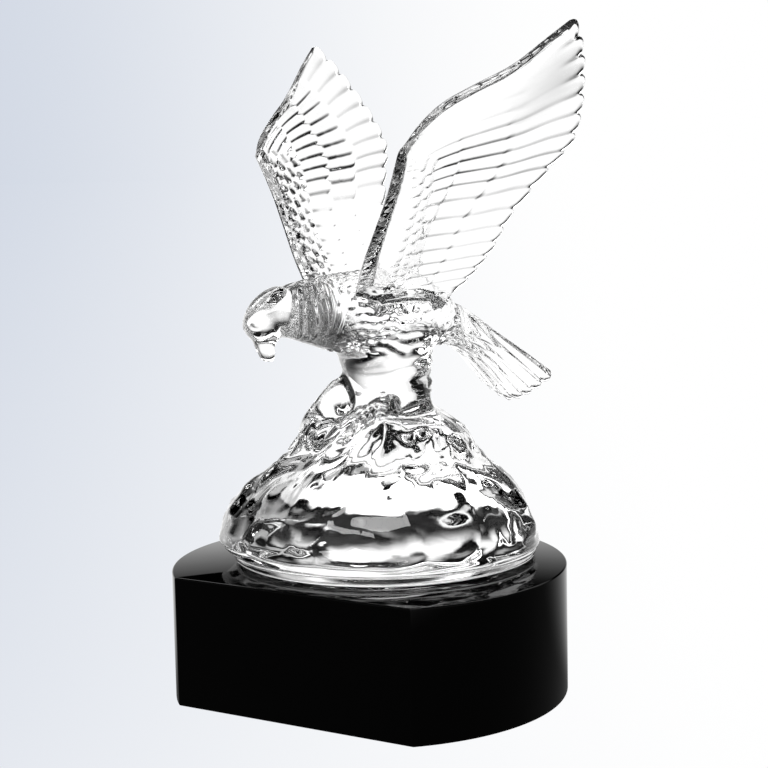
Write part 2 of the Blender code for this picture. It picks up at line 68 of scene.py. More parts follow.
# Plinth
PLINTH_FLAT = 51.5  # from the axis to the flat front face
PLINTH_ROUND = 0.6  # radius of its rims
PLINTH_CORNER = 1.0  # radius of that face's upright corners
PLINTH_STEPS = 200
PLINTH_ROUND_STEPS = 5

# Rock: radius and height from the foot ring up to the summit
ROCK_PROFILE = (
    (52.4, 0.0), (54.4, 0.9), (54.6, 2.6), (53.6, 3.4), (56.4, 4.6), (57.8, 8.5), (57.0, 14.0), (54.4, 20.0),
    (49.4, 25.0), (44.0, 30.0), (38.0, 34.5), (33.6, 39.0), (30.0, 44.0), (25.5, 48.5), (18.0, 52.0),
    (9.0, 54.0),
)
ROCK_FOOT_KEYS = 5  # the first points keep their corners, and the rest is one smooth line
ROCK_SLOPE_KEY = 6  # from here the profile only narrows
ROCK_STEPS = 230
ROCK_RINGS = 62
# How far the axis leans at each height
ROCK_LEAN_TOWARDS = -37.7
ROCK_LEAN = ((0.0, 3.4, 8.0, 30.0, 45.0, 60.0), (0.0, 0.0, 2.5, 2.8, -2.0, -3.0))
ROCK_SMOOTH = (5.0, 8.0)  # where the hollows set in over the foot ring
ROCK_SCOOPS = ((26.0, 5.5), (13.0, 1.1), (8.0, 0.4))  # size and depth of each grade of hollow
ROCK_LEVELS = ((0.0, 26.0, 60.0), (0.0, 37.0, 58.0))  # heights, and where the hollows take them to be
ROCK_FLOW = (0.25, 0.8)  # how far the hollows' edges wander, and how quickly
ROCK_HOLLOW_MIDDLE = 0.35  # share of the depth that stands out at the rim
ROCK_TOP_MORE = 2.5  # how much deeper those under this size are high up
ROCK_TOP_SIZE = 20.0
ROCK_TOP_FROM = (26.0, 10.0)
ROCK_CHIPS_FROM = 10.0  # depth of the point that the surface is pushed away from
ROCK_SUMMIT = (-7.0, 1.0, 46.5)  # the boss under the legs
ROCK_SUMMIT_SIZE = (20.0, 16.0, 9.0)
ROCK_SUMMIT_STEPS = 40
ROCK_BOULDER = (21.0, -1.0, 42.0)  # the smooth boulder between the feet
ROCK_BOULDER_SIZE = (8.0, 7.5, 7.5)
ROCK_BOULDER_STEPS = 24
ROCK_SEARCH_FROM = 45.0  # a height near the toes
ROCK_SEARCHES = 4

# Torso and neck: forward, left, up, half height, half width, from the tail to inside the head
TORSO = (
    (-42.0, 0.0, 71.8, 1.2, 4.5), (-34.0, 0.0, 77.8, 4.2, 7.6), (-26.0, 0.0, 82.0, 8.2, 10.8),
    (-17.0, 0.0, 85.0, 11.6, 14.2), (-7.0, 0.0, 87.0, 14.0, 16.8), (3.0, 0.0, 88.0, 14.6, 17.8),
    (12.0, 0.0, 88.3, 14.2, 17.2), (21.0, 0.0, 88.8, 13.2, 14.8), (30.0, -0.8, 89.8, 11.4, 11.6),
    (38.0, -2.0, 90.2, 9.4, 8.6), (46.0, -3.0, 89.4, 7.4, 6.0),
)
TORSO_SQUARENESS = 2.5  # of its upper half
TORSO_RINGS = 130
TORSO_SPREAD = ((0.0, 0.1, 0.52, 0.92, 1.0), (0.0, 0.2, 0.68, 0.92, 1.0))  # shares of the rings, and their reach
TORSO_SIDES = 140
NECK_RIDGES = (22.5, 39.0, 3.7, 0.7)  # from and to along the neck, spacing and height
NECK_SOFT = 3.0
NECK_WANDER = (0.6, 3, 0.3)  # how far, and how quickly round the neck and along it
NECK_LOW = (-0.75, 0.4)  # they fade under the neck, by the sine of the turn
NECK_HIDDEN = (-0.5, 1.0)  # and on its right, by the cosine

# Small feathers of the body: length and width of each, and their height
TORSO_SCALE = (3.8, 2.6)
TORSO_SCALE_HEIGHT = 0.9
RUMP_SCALE = (4.6, 3.6)
RUMP_SCALE_HEIGHT = 0.8
RUMP_FROM = (-4.0, 8.0)
TILE_JITTER = 0.25  # how unevenly a row is shifted
TILE_RISE = (0.75, 0.5)  # the least height, and how much more there can be
TILE_TILT = 0.35
TILE_ROUND = 2.2
BODY_UP = 88.0  # height of the line that the rows turn round
BODY_ROUND = 14.0  # how far one radian round it counts
BODY_NECK = (26.0, 3.0)
BODY_LEG_FROM = -17.0  # how far over that line the rows turn level
BODY_FEATHERS_FROM = (1.0, 5.0)
LEG_ROW_SHIFT = -1.02
LEG_REAR = (-9.0, 3.0)
LEG_FOOT = (54.0, 4.0)
ROW_WAVE = (0.5, 0.55)  # how far a row wanders, and how quickly
ROW_SWAY = (0.4, 0.21, 7.0)  # the same, and across the body
LENGTH_WAVE = (0.4, 0.8)
SEEN_SIDE = (-5.0, 10.0)  # the carving gets plainer to the right
HIDDEN_SHARE = 0.35  # height of the carving that is turned away
UNDER_SHARE = 0.05  # and of the left wing's inner face

# Head: height of each level slice over the head's centre, its front, its back and its half width
HEAD_PLACE = (47.6, -3.0, 89.5)
HEAD_TURN = -20.0
HEAD = (
    (10.0, -5.0, -6.6, 1.4), (9.4, -3.2, -7.6, 4.2), (8.0, -0.2, -8.6, 6.0), (5.5, 3.1, -9.0, 6.5),
    (2.7, 5.4, -9.0, 6.6), (-0.9, 7.0, -8.5, 6.5), (-3.3, 7.4, -8.0, 6.4), (-4.9, 7.0, -7.4, 6.2),
    (-6.9, 5.8, -6.0, 5.3), (-8.4, 4.5, -4.2, 3.4), (-10.5, 3.6, -3.2, 2.9), (-12.6, 2.7, -3.2, 2.7),
    (-14.5, 1.8, -2.9, 2.2), (-15.7, 0.5, -2.3, 1.2),
)
HEAD_SQUARENESS = 3.0
HEAD_RINGS = 54
HEAD_SIDES = 56
EYE_PLACE = (4.4, -2.2)  # forward and up from the head's centre
EYE_DOME = (1.5, 0.6)  # radius and height
EYE_HIDDEN_SHARE = 0.1  # of it on the right
BROW = (2.4, 0.45, 0.5)  # radius, half width and height of the ring round the eye

# Wing outline, forward and up: the leading edges of the arm and the hand, and the trailing edge
WING_ARM = (
    (20.0, 84.0), (21.6, 96.3), (22.6, 107.0), (22.4, 117.8), (22.2, 127.5), (22.5, 133.5), (22.9, 137.6),
    (23.2, 140.6), (23.4, 142.6), (23.4, 144.0),
)
WING_HAND = (
    (23.4, 144.0), (18.6, 151.5), (10.8, 159.1), (1.5, 165.2), (-8.0, 171.3), (-17.0, 179.2), (-24.5, 185.5),
)
WING_TRAIL = (
    (-10.0, 84.0), (-21.0, 98.5), (-27.0, 110.0), (-29.5, 122.0), (-37.0, 136.0), (-43.0, 146.5),
    (-41.5, 157.5), (-37.0, 168.0), (-31.5, 177.5), (-24.5, 185.5),
)
WING_ROOT_LEFT = 17.1  # how far left the wing's plane is at the place below, and its slopes
WING_PLANE_AT = (21.0, 101.0)
WING_LEAN = 0.59
WING_SWEEP = 0.125
WING_CAMBER = 1.0
WING_TUCK = 5.3  # how far the hand bends inwards, and over how much of its width
WING_TUCK_SPAN = 0.75
WING_PLATE = (2.1, 1.9)  # half thickness at the root and at the tip
# Half thickness of the bevelled edge at the root and at the tip, and the bevel's width at both
LEFT_EDGE = (4.6, 3.0, 9.2, 7.0)
RIGHT_EDGE = (2.7, 2.1, 3.2, 2.8)
RIM_TIP_LESS = 0.4  # how much slimmer the bevel gets towards the tip
BEVEL_TIP_LESS = 1.4 * RIM_TIP_LESS  # and how much narrower
BEVEL_POWER = 1.1  # above 1 its face is slightly hollow
RIM_STRIATION = (1.9, 0.02)  # spacing and height of its ripples
RIM_WANDER = (0.3, 0.7)  # how unevenly they are spaced
WING_NOSE = 0.8
WING_TAPER = 22.0  # how far behind the bevel the plate gets to its own thickness
WING_THIN_FROM = (0.55, 0.45)  # across the wing
WING_TRAIL_HALF = 1.4
WING_TRAIL_ROUND = 1.8

# Feathers of the wing. Places along and across it are shares
FEATHERS = 16
FEATHERS_FROM = 0.1
FEATHER_GROWTH = 1.3  # how much wider they are towards the tip
FEATHER_CREST = 0.4
OUTER_CREST = 0.65  # height of the long feathers' ridges on each face, and of the inner coverts'
INNER_CREST = 0.7
INNER_COVERT_CREST = 1.6
FEATHER_FLANK = 0.35  # share of a feather's width that its steep lower flank takes
FEATHER_FALL = (0.85, 1.4)  # share of its height lost by its upper edge, and the power of that
FEATHER_TIP = 2.2  # how far the tips stand out
FEATHER_TIP_FROM = (0.85, 0.15)
FEATHER_TIPS_TO = 0.999  # short of the very end of the hand
FEATHER_TIP_ROUND = 3
FEATHER_TIP_LEAN = 0.3
FEATHER_TIP_AT_ROOT = 0.5  # share of their length there
OUTER_ROWS = (0.37, 0.61)  # where the rows of coverts end
INNER_ROWS = (0.27, 0.48, 0.7)
ROW_STEP = 0.25  # how far each row stands over the next
ROW_LOW = (0.4, 0.5)  # shares of it: before a row's rounded end, and that a row slopes down
ROW_TIP = (1.2, 2.4)  # reach of the coverts' round tips on each face
ROW_TIP_SPAN = 0.09
ROW_TIP_MIDDLE = 0.6
ROW_ROUND = (1.2, 2.2)  # how softly a row ends on each face
CARVING_FROM = (0.85, 0.25)  # by the share of the bevel's width
CARVING_ENDS = (0.2, 2.0)  # how soon it starts at the root, and stops at the trailing edge
SMOOTH_HAND = (0.6, 0.25)  # the outer face is smooth from here along the wing
SMOOTH_TO = (0.97, 0.1)  # and to here across it
BEAD = 3.5  # spacing of the beads
BEAD_COLUMNS = (10.4, 13.8)  # how far from the edge they are
BEAD_SIZE = 1.75
BEAD_REACH = 1.1
BEAD_BASE = 0.6
BEAD_HEIGHT = 0.9
BEADS_FROM = (0.1, 0.05)
BEADS_TO = (0.8, 0.1)
BEADS_TURN = 2.0  # how soon they end near the hand's edge
WING_SCALE = (4.2, 3.6)  # the small feathers of the inner face
WING_SCALE_HEIGHT = 1.0
WING_SCALES_TO = (0.84, 0.08)
PLAIN_ALONG = (0.3, 0.15)  # the inner face is plain next to the body
PLAIN_ACROSS = (0.3, 0.1)

# Grid of the wing: where its rings and its columns lie
FEATHER_RINGS = (0.0, 0.07, 0.15, 0.25, 0.35, 0.5, 0.57, 0.65, 0.75, 0.87)
ROOT_RINGS = (0.0, 0.04, 0.07)
HAND_RINGS = 12
RIM_SHARE = 0.075
RIM_COLUMNS = (0.0, 0.04, 0.13, 0.26, 0.42, 0.6, 0.8)
TRAIL_SHARE = 0.975
TRAIL_COLUMNS = (0.8, 0.55, 0.34, 0.17, 0.05, 0.0)
ROW_EDGE = 0.005
WING_COLUMNS = 66
COLUMN_DENSITY = (2.0, 0.7)
SHARED_EDGE = (0.05, 0.03)  # where both faces have the same columns

# Tail: a fan that slopes down behind, its two sides swept up
TAIL_ROOT = (-22.0, 84.6)  # forward and up, on the middle line
TAIL_END = (-60.5, 52.0)
TAIL_HALF_WIDTH = (8.0, 23.5)
TAIL_SWEEP_UP = (4.0, 11.0)  # of the sides, at the root and at the end
TAIL_SWEEP_POWER = 1.5
TAIL_DROOP = 2.0
TAIL_LENGTH = math.dist(TAIL_ROOT, TAIL_END)
TAIL_HALF_THICK = (5.0, 1.2)
TAIL_THINS = 1.5
TAIL_SIDE_ROUND = 5
TAIL_END_ROUND = 1.4
TAIL_FEATHERS = 9
TAIL_CREST = (0.6, 3)  # height of its ridges, and how quickly they rise
TAIL_SHAFT = (0.18, 0.16)  # height and half width of the quills
TAIL_SHAFT_FROM = (0.2, 0.25)
TAIL_TIP = 2.2
TAIL_TIPS_FROM = (0.6, 0.4)
RINGS_PER_TAIL_FEATHER = 8
TAIL_COLUMNS = 48
TAIL_EVEN_TO = 0.965  # then the columns close in on the end
TAIL_END_COLUMNS = (0.975, 0.984, 0.991, 0.996, 0.999, 1.0)
TAIL_SIDE_RINGS = (0.99, 0.997)

# Legs: forward, left, up, half length and half width of each level slice of the left one
LEG = (
    (-1.0, 2.6, 86.6, 22.6, 14.7), (-1.0, 2.6, 80.0, 19.5, 14.8), (-1.4, 2.6, 73.0, 15.6, 14.4),
    (-2.4, 2.6, 66.0, 13.4, 14.0), (-3.4, 2.6, 59.0, 12.8, 13.8), (-4.0, 2.8, 51.0, 13.2, 13.8),
    (-4.0, 3.0, 44.0, 14.0, 14.0),
)
LEG_SQUARENESS = 2.0
RIGHT_LEG_FORWARD = 1.0
LEG_RINGS = 44
LEG_SIDES = 64

# Feet: each ankle, the shank's slices from there, then heading and length of each toe
LEFT_ANKLE = (7.0, 10.0)
RIGHT_ANKLE = (17.0, -9.5)
LEFT_TOES = ((-20.0, 18.0), (6.0, 16.0), (44.0, 13.0))
RIGHT_TOES = ((24.0, 12.0), (-8.0, 12.0), (-44.0, 11.0))
TOE_RADIUS = (2.5, 1.9)
TOE_LIFT = (0.3, 1.2)  # height over the rock at its ends, and more between
TALON_LENGTH = 4.0
TALON_BLUNT = 0.03  # square of its width left at the end
TOE_RINGS = 56
TOE_SIDES = 18
TOE_SCUTE = (2.6, 0.5)  # length and height of a scute
SHANK = ((-10.0, 60.0, 5.0), (-4.0, 56.6, 5.4), (2.0, 51.6, 5.4), (7.0, 47.4, 5.0), (10.0, 44.5, 4.0))
SHANK_SIZE = (1.0, 1.3)  # how much wider the left and the right shank are
SHANK_RINGS = 24
SHANK_SIDES = 30
ANKLE_SCUTES = ((7.0, 9.9, 60.0), (9.4, 12.2, 49.5))  # both ends of their row
SCUTES = 7
SCUTE_SIZE = (1.3, 1.7, 0.95)
SCUTE_GROWTH = (0.8, 0.4)  # down the row
SCUTE_STEPS = 10

# Joining the solids of the casting into one skin
FEATHERED = ("torso", "leg_left", "leg_right")
SEAM_PASSES = 40
SEAM_FADE = 5
SEAM_PULL = 0.6
SHARP_FROM = 60

# Camera: its place in metres, the way it faces, and its lens in millimetres
CAMERA_PLACE = (0.3294, -0.5239, 0.1875)
CAMERA_AZIMUTH, CAMERA_ELEVATION, CAMERA_ROLL = (math.radians(angle) for angle in (31.563, 7.205, 1.173))
CAMERA_LENS = 83.09
CAMERA_SENSOR = 36
RIGHT = Vector((math.cos(CAMERA_AZIMUTH), math.sin(CAMERA_AZIMUTH), 0))
BEHIND = Vector((-math.sin(CAMERA_AZIMUTH), math.cos(CAMERA_AZIMUTH), 0))
UP = (0, 0, 1)

# Backdrop: its colours, and between which slopes to the right they change
BACKDROP_LEFT = (0.638, 0.686, 0.776, 1)
BACKDROP_RIGHT = (1.0, 1.0, 1.0, 1)
BACKDROP_SPAN = (-0.26, 0.12)

# Brightness of the room and the floor, as the glass sees them
FIELD_HALF = 55  # degrees that it stays bright to each side, and how softly it ends
FIELD_SOFT = 15
FIELD_FRONT = 0.7  # on the camera's side
FIELD_DARK = 0.012  # least of the floor
FIELD_SIDE = 0.2  # least of the room
FIELD_TURN = (-0.2, 0.9)  # towards the camera's side, by the cosine
FIELD_HIGH = (0.15, 0.6, 0.25)  # sines between which the room dims upwards, and the share left
GLASS_FLOOR = 1.1
GLASS_FILL = 0.1  # of it everywhere
GLASS_SPREAD = 0.2  # how far out its fields part, and meet in front
GLASS_LEAD = 0.1

# Light panel behind the glass: its distance, half width and height in metres, and its dark band
PANEL_PLACE = 2.0
PANEL_SIZE = (4.5, 4.4)
PANEL_LIGHT = 1.15
PANEL_DIM = 0.2
PANEL_SHIFT = 1.0  # how far left of the middle it is brightest
PANEL_HIGH_LIGHT = 3.0  # how many times as bright it is high up
PANEL_SIDE = (1.3, 2.4)  # it fades sideways between these
PANEL_LOW = (0.2, 0.76)  # fades upwards
PANEL_HIGH = (1.05, 1.38)  # brightens again
PANEL_TOP = (2.2, 3.2)  # and fades out

# Softboxes: place and size in metres, and power in watts
TOP_SOFTBOX = (Vector((0.1, -0.1, 1.0)), (0.5, 0.5), 6)
CAMERA_SOFTBOX = (Vector(CAMERA_PLACE) + Vector((0, 0, 0.45)) - 0.25 * RIGHT, (0.35, 0.35), 3)
SOFTBOX_AIM = Vector((0, 0, 0.12))

FLOOR_RADIUS = 20
FLOOR_SIDES = 96
FLOOR_SPREAD = 1.1
FLOOR_ROUGHNESS = 0.8
BOUNCES = 32

# Polish: size of the smears and of the waves, the roughness from and to, and the waves' height
CRYSTAL_IOR = 1.52
CRYSTAL_GRAIN = (22.0, 9.0)
CRYSTAL_ROUGHNESS = (0.004, 0.022)
CRYSTAL_WAVE = 0.03
BLACK_COLOUR = (0.0006, 0.0006, 0.0006, 1)
BLACK_SPECULAR = 0.1
BLACK_GRAIN = (35.0, 14.0)
BLACK_ROUGHNESS = (0.02, 0.045)
BLACK_WAVE = 0.01
SMEARS = (0.35, 0.7)  # noise values between which the roughness changes


def curve(keys, where):
    """A smooth line through evenly spaced keys, at places from 0 to 1."""
    keys = np.asarray(keys, float)
    places = np.asarray(where, float) * (len(keys) - 1)
    start = np.clip(places.astype(int), 0, len(keys) - 2)
    slopes = np.gradient(keys, axis=0)
    u = (places - start)[..., None]
    a, b = keys[start], keys[start + 1]
    return (
        a * (1 + 2 * u) * (1 - u) ** 2
        + b * u * u * (3 - 2 * u)
        + slopes[start] * u * (1 - u) ** 2
        + slopes[start + 1] * u * u * (u - 1)
    )


def ease(x):
    """0 below 0, 1 above 1, and smooth between."""
    x = np.clip(x, 0, 1)
    return x * x * (3 - 2 * x)


def rise(x, start, over):
    """0 up to the start, then smoothly up to 1."""
    return ease((x - start) / over)


def fall(x, end, over):
    """1, then smoothly down to 0 at the end."""
    return ease((end - x) / over)


def between(ends, share):
    """From the first size to the second."""
    return ends[0] + (ends[1] - ends[0]) * share


def turns(count):
    """Evenly spaced angles round a circle."""
    return np.arange(count) * 2 * math.pi / count


def crest(x):
    """The ridge of a feather, steep at its lower edge, x = -1, and gentle to its upper one, x = 1."""
    u = (x + 1) / 2
    return ease(u / FEATHER_FLANK) * (1 - FEATHER_FALL[0] * u**FEATHER_FALL[1])


def dome(distance):
    """A round bead's height, where distance is 0 at its middle and 1 at its edge."""
    return np.sqrt(np.clip(1 - distance**2, 0, 1))


def scatter(i, j):
    """A number from 0 to 1 that looks random, always the same for one i and j."""
    return np.sin(i * 12.9898 + j * 78.233) * 43758.5453 % 1


def tiles(along, across, size):
    """Height from 0 to 1 of small overlapping rounded feathers, set in staggered rows."""
    j = np.floor(across / size[1])
    shifted = along / size[0] + 0.5 * (j % 2) + TILE_JITTER * (scatter(j, 3) - 0.5)
    i = np.floor(shifted)
    a, b = 2 * (shifted - i) - 1, 2 * (across / size[1] - j) - 1
    tall = TILE_RISE[0] + TILE_RISE[1] * scatter(i, j)
    return np.clip(1 - abs(a) ** TILE_ROUND, 0, 1) * np.clip(1 - b * b, 0, 1) * (1 + TILE_TILT * b) * tall


def normals_of(rings):
    """Outward unit normals of a skin through closed rings of points."""
    around = np.roll(rings, -1, 1) - np.roll(rings, 1, 1)
    normal = np.cross(around, np.gradient(rings, axis=0))
    normal /= np.maximum(np.linalg.norm(normal, axis=-1, keepdims=True), 1e-9)
    outwards = ((rings - rings.mean(1, keepdims=True)) * normal).sum()
    return normal * np.sign(outwards)


def read(source, name, size=1, kind=np.int32):
    """One property of a mesh's points, edges or faces, as an array."""
    values = np.empty(len(source) * size, kind)
    source.foreach_get(name, values)
    return values.reshape(-1, size) if size > 1 else values


def in_scene(name, data):
    obj = bpy.data.objects.new(name, data)
    bpy.context.scene.collection.objects.link(obj)
    return obj


def new_object(name, points, faces):
    mesh = bpy.data.meshes.new(name)
    mesh.from_pydata(points, [], faces)
    return in_scene(name, mesh)


def closed_skin(name, points, faces):
    """An object from points in millimetres, its faces turned over if they look inwards."""
    obj = new_object(name, (points * MM).tolist(), faces)
    mesh = obj.data
    mesh.calc_loop_triangles()
    triangles = read(mesh.vertices, "co", 3, float)[read(mesh.loop_triangles, "vertices", 3)]
    if np.linalg.det(triangles).sum() < 0:
        mesh.flip_normals()
    return obj


def loft(name, rings):
    """A closed skin through rings of points, each end closed by a fan about its middle."""
    rings = np.asarray(rings)
    count, sides = rings.shape[:2]
    points = np.vstack([rings.reshape(-1, 3), rings[0].mean(0), rings[-1].mean(0)])
    index = np.arange(count * sides).reshape(count, sides)
    turned = np.roll(index, -1, 1)
    sheet = np.stack([index[:-1], turned[:-1], turned[1:], index[1:]], -1).reshape(-1, 4)
    first = [(count * sides, int(k), int(j)) for j, k in zip(index[0], turned[0])]
    last = [(count * sides + 1, int(j), int(k)) for j, k in zip(index[-1], turned[-1])]
    return closed_skin(name, points, sheet.tolist() + first + last)


def plate(name, front, back):
    """A closed skin of two grids of points that meet along their border."""
    rows, columns = front.shape[:2]
    border = np.ones((rows, columns), bool)
    border[1:-1, 1:-1] = False
    front_index = np.arange(rows * columns).reshape(rows, columns)
    back_index = front_index.copy()
    back_index[~border] = rows * columns + np.arange((~border).sum())
    points = np.vstack([front.reshape(-1, 3), back[~border]])
    sheets = []
    for index, order in ((front_index, 1), (back_index, -1)):
        corners = [index[:-1, :-1], index[1:, :-1], index[1:, 1:], index[:-1, 1:]][::order]
        sheets.append(np.stack(corners, -1).reshape(-1, 4))
    return closed_skin(name, points, np.vstack(sheets).tolist())


def superellipse(sides, power, fine=40):
    """Evenly spaced points round a squared circle of radius 1, as (across, up)."""
    turn = np.linspace(0, 2 * math.pi, fine * sides + 1)
    c, s = np.cos(turn), np.sin(turn)
    across, up = np.sign(c) * abs(c) ** (2 / power), np.sign(s) * abs(s) ** (2 / power)
    length = np.concatenate([[0], np.cumsum(np.hypot(np.diff(across), np.diff(up)))])
    places = np.arange(sides) * length[-1] / sides
    return np.interp(places, length, across), np.interp(places, length, up)


def rock_chip(point):
    """How far the rock's surface is chipped at a point of its plain form."""
    depth = 0.0
    top = float(rise(point[2], *ROCK_TOP_FROM))
    for size, deep in ROCK_SCOOPS:
        cell = Vector((point[0], point[1], float(np.interp(point[2], *ROCK_LEVELS)))) / size
        cell += ROCK_FLOW[0] * noise.noise_vector(cell * ROCK_FLOW[1])
        nearest = noise.voronoi(cell)[0][0]
        more = 1 + ROCK_TOP_MORE * top * (size < ROCK_TOP_SIZE)
        depth += deep * more * (min(nearest, 1.0) ** 2 - ROCK_HOLLOW_MIDDLE)
    return depth * float(rise(point[2], *ROCK_SMOOTH))


def rock_centre(height):
    """Where the rock's axis is at a height."""
    towards = math.radians(ROCK_LEAN_TOWARDS)
    return float(np.interp(height, *ROCK_LEAN)) * np.array([math.cos(towards), math.sin(towards)])


def rock():
    """The rock: a turned bell on a foot ring, chipped into shallow hollows."""
    turn = turns(ROCK_STEPS)
    foot, bell = ROCK_PROFILE[:ROCK_FOOT_KEYS], ROCK_PROFILE[ROCK_FOOT_KEYS - 1 :]
    profile = [*foot[:-1], *curve(bell, np.linspace(0, 1, ROCK_RINGS))]
    rings = []
    for radius, height in profile:
        out, lift = Vector((radius, height + ROCK_CHIPS_FROM)).normalized()
        ring = []
        for angle in turn:
            x, y = math.cos(angle), math.sin(angle)
            chip = rock_chip((radius * x, radius * y, height))
            middle = rock_centre(height)
            reach = radius + out * chip
            ring.append((middle[0] + reach * x, middle[1] + reach * y, height + lift * chip))
        rings.append(ring)
    return loft("rock", rings)


def rock_height(x, y):
    """Height of the rock's plain form at a place on its upper part."""
    radius, height = np.array(ROCK_PROFILE[ROCK_SLOPE_KEY:])[::-1].T
    found = ROCK_SEARCH_FROM
    for _ in range(ROCK_SEARCHES):
        found = float(np.interp(math.hypot(*(np.array([x, y]) - rock_centre(found))), radius, height))
    return found


def ellipsoid(name, centre, size, steps):
    polar = math.pi * np.arange(1, steps)[:, None] / steps
    turn = (np.arange(2 * steps) * math.pi / steps)[None, :]
    rings = np.stack([np.cos(turn) * np.sin(polar), np.sin(turn) * np.sin(polar), np.cos(polar) + 0 * turn], -1)
    return loft(name, rings * size + centre)


def torso():
    """Body and neck, from the root of the tail to inside the head, with the neck's ridges."""
    path = curve(TORSO, np.interp(np.linspace(0, 1, TORSO_RINGS), *TORSO_SPREAD))
    forward = np.gradient(path[:, :3], axis=0)
    forward /= np.linalg.norm(forward, axis=1, keepdims=True)
    left = np.cross(UP, forward)
    left /= np.linalg.norm(left, axis=1, keepdims=True)
    upwards = np.cross(forward, left)
    across, up = superellipse(TORSO_SIDES, TORSO_SQUARENESS)
    below = np.where(up < 0, np.hypot(across, up), 1)
    across, up = across / below, up / below
    grid = (
        path[:, None, :3]
        + (path[:, 4, None] * across)[..., None] * left[:, None]
        + (path[:, 3, None] * up)[..., None] * upwards[:, None]
    )
    turn = np.arctan2(up, across)[None]
    along = path[:, 0, None] + 0 * turn
    start, end, spacing, height = NECK_RIDGES
    wander, round_neck, along_neck = NECK_WANDER
    wave = along + wander * np.sin(round_neck * turn + along_neck * along)
    ridges = 0.5 + 0.5 * np.cos(wave * 2 * math.pi / spacing)
    ridges = ridges * rise(along, start, NECK_SOFT) * fall(along, end, NECK_SOFT)
    ridges = ridges * rise(np.sin(turn), *NECK_LOW) * rise(np.cos(turn), *NECK_HIDDEN)
    return loft("torso", grid + normals_of(grid) * (height * ridges)[..., None])


def seen_share(left):
    """Full height of the carving on the left side, and plainer on the right one."""
    return HIDDEN_SHARE + (1 - HIDDEN_SHARE) * rise(left, *SEEN_SIDE)


def body_feathers(points):
    """Height of the small feathers, in wavy level rows down to the rear of the legs."""
    forward, left, up = points.T
    over = up - BODY_UP
    around = BODY_ROUND * np.arctan2(over, np.maximum(abs(left), 0.1))
    row = np.where(over > BODY_LEG_FROM, around, over + LEG_ROW_SHIFT)
    row = row + ROW_WAVE[0] * np.sin(forward * ROW_WAVE[1])
    row = row + ROW_SWAY[0] * np.sin(forward * ROW_SWAY[1] + left / ROW_SWAY[2])
    length = forward + LENGTH_WAVE[0] * np.sin(row * LENGTH_WAVE[1])
    rump = fall(forward, *RUMP_FROM)
    high = TORSO_SCALE_HEIGHT * tiles(length, row, TORSO_SCALE) * (1 - rump)
    high = high + RUMP_SCALE_HEIGHT * tiles(length, row, RUMP_SCALE) * rump
    on_leg = fall(forward, *LEG_REAR) * rise(up, *LEG_FOOT)
    on_body = fall(forward, *BODY_NECK) * np.maximum(rise(over - BODY_LEG_FROM, *BODY_FEATHERS_FROM), on_leg)
    return high * on_body * seen_share(left)


def head():
    """The bowed head and hooked beak, from level slices, with the eyes."""
    yaw = math.radians(HEAD_TURN)
    along, across = superellipse(HEAD_SIDES, HEAD_SQUARENESS)
    slices = curve(HEAD, np.linspace(0, 1, HEAD_RINGS))
    height, front, back, half_width = (slices[:, k, None] for k in range(4))
    forward = (front + back) / 2 + (front - back) / 2 * along
    left = half_width * across
    grid = np.stack([forward, left, height + 0 * forward], -1)
    high = np.zeros(grid.shape[:2])
    for side, share in ((1, 1.0), (-1, EYE_HIDDEN_SHARE)):
        away = np.hypot(forward - EYE_PLACE[0], height - EYE_PLACE[1]) + FAR * (side * left < 0)
        brow = BROW[2] * np.exp(-(((away - BROW[0]) / BROW[1]) ** 2))
        high = high + (EYE_DOME[1] * dome(np.minimum(away / EYE_DOME[0], 1)) + brow) * share
    grid = grid + normals_of(grid) * high[..., None]
    x = grid[..., 0] * math.cos(yaw) - grid[..., 1] * math.sin(yaw)
    y = grid[..., 0] * math.sin(yaw) + grid[..., 1] * math.cos(yaw)
    return loft("head", np.stack([x, y, grid[..., 2]], -1) + HEAD_PLACE)


def wing_outline(s, t):
    """A point of the wing, s from its root to the hand's edge and t from leading to trailing edge."""
    lead, trail = curve(WING_ARM, s), curve(WING_TRAIL, s)
    hand = curve(WING_HAND, t)
    root_front, root_back = np.array(WING_ARM[0]), np.array(WING_TRAIL[0])
    wrist, tip = np.array(WING_HAND[0]), np.array(WING_HAND[-1])
    s, t = s[..., None], t[..., None]
    root = root_front * (1 - t) + root_back * t
    corners = (root_front * (1 - s) + wrist * s) * (1 - t) + (root_back * (1 - s) + tip * s) * t
    return lead * (1 - t) + trail * t + root * (1 - s) + hand * s - corners


def feather_number(s):
    """How many feathers lie between the wing's root and s."""
    return FEATHERS * (np.clip(s - FEATHERS_FROM, 0, 1) / (1 - FEATHERS_FROM)) ** (1 / FEATHER_GROWTH)


def feather_start(number):
    return FEATHERS_FROM + (1 - FEATHERS_FROM) * (number / FEATHERS) ** FEATHER_GROWTH


def across_feather(s, shift=0.0):
    """Where s falls across its own feather, -1 to 1."""
    return 2 * ((np.minimum(feather_number(s), FEATHERS - 1e-6) + shift) % 1) - 1


def rim_width(s, t, rim):
    """How wide the bevel behind the leading edge is."""
    return between(rim[2:], s) * (1 - BEVEL_TIP_LESS * s * t)


def wing_half_thickness(s, t, chord, inset, rim):
    """Half thickness of the bevelled leading edge, the plate behind it and the thin trailing edge."""
    edge = between(rim, s) * (1 - RIM_TIP_LESS * s * t)
    bevel = rim_width(s, t, rim)
    middle = between(WING_PLATE, s)
    half = middle + (WING_TRAIL_HALF - middle) * rise(t, *WING_THIN_FROM)
    front = edge * (1 - (1 - np.clip(inset / bevel, 0, 1)) ** BEVEL_POWER)
    front = front * dome(1 - np.clip(inset / WING_NOSE, 0, 1))
    half = np.where(inset < bevel, front, half + (edge - half) * (1 - rise(inset, bevel, WING_TAPER)))
    return half * dome(1 - np.clip((1 - t) * chord / WING_TRAIL_ROUND, 0, 1))


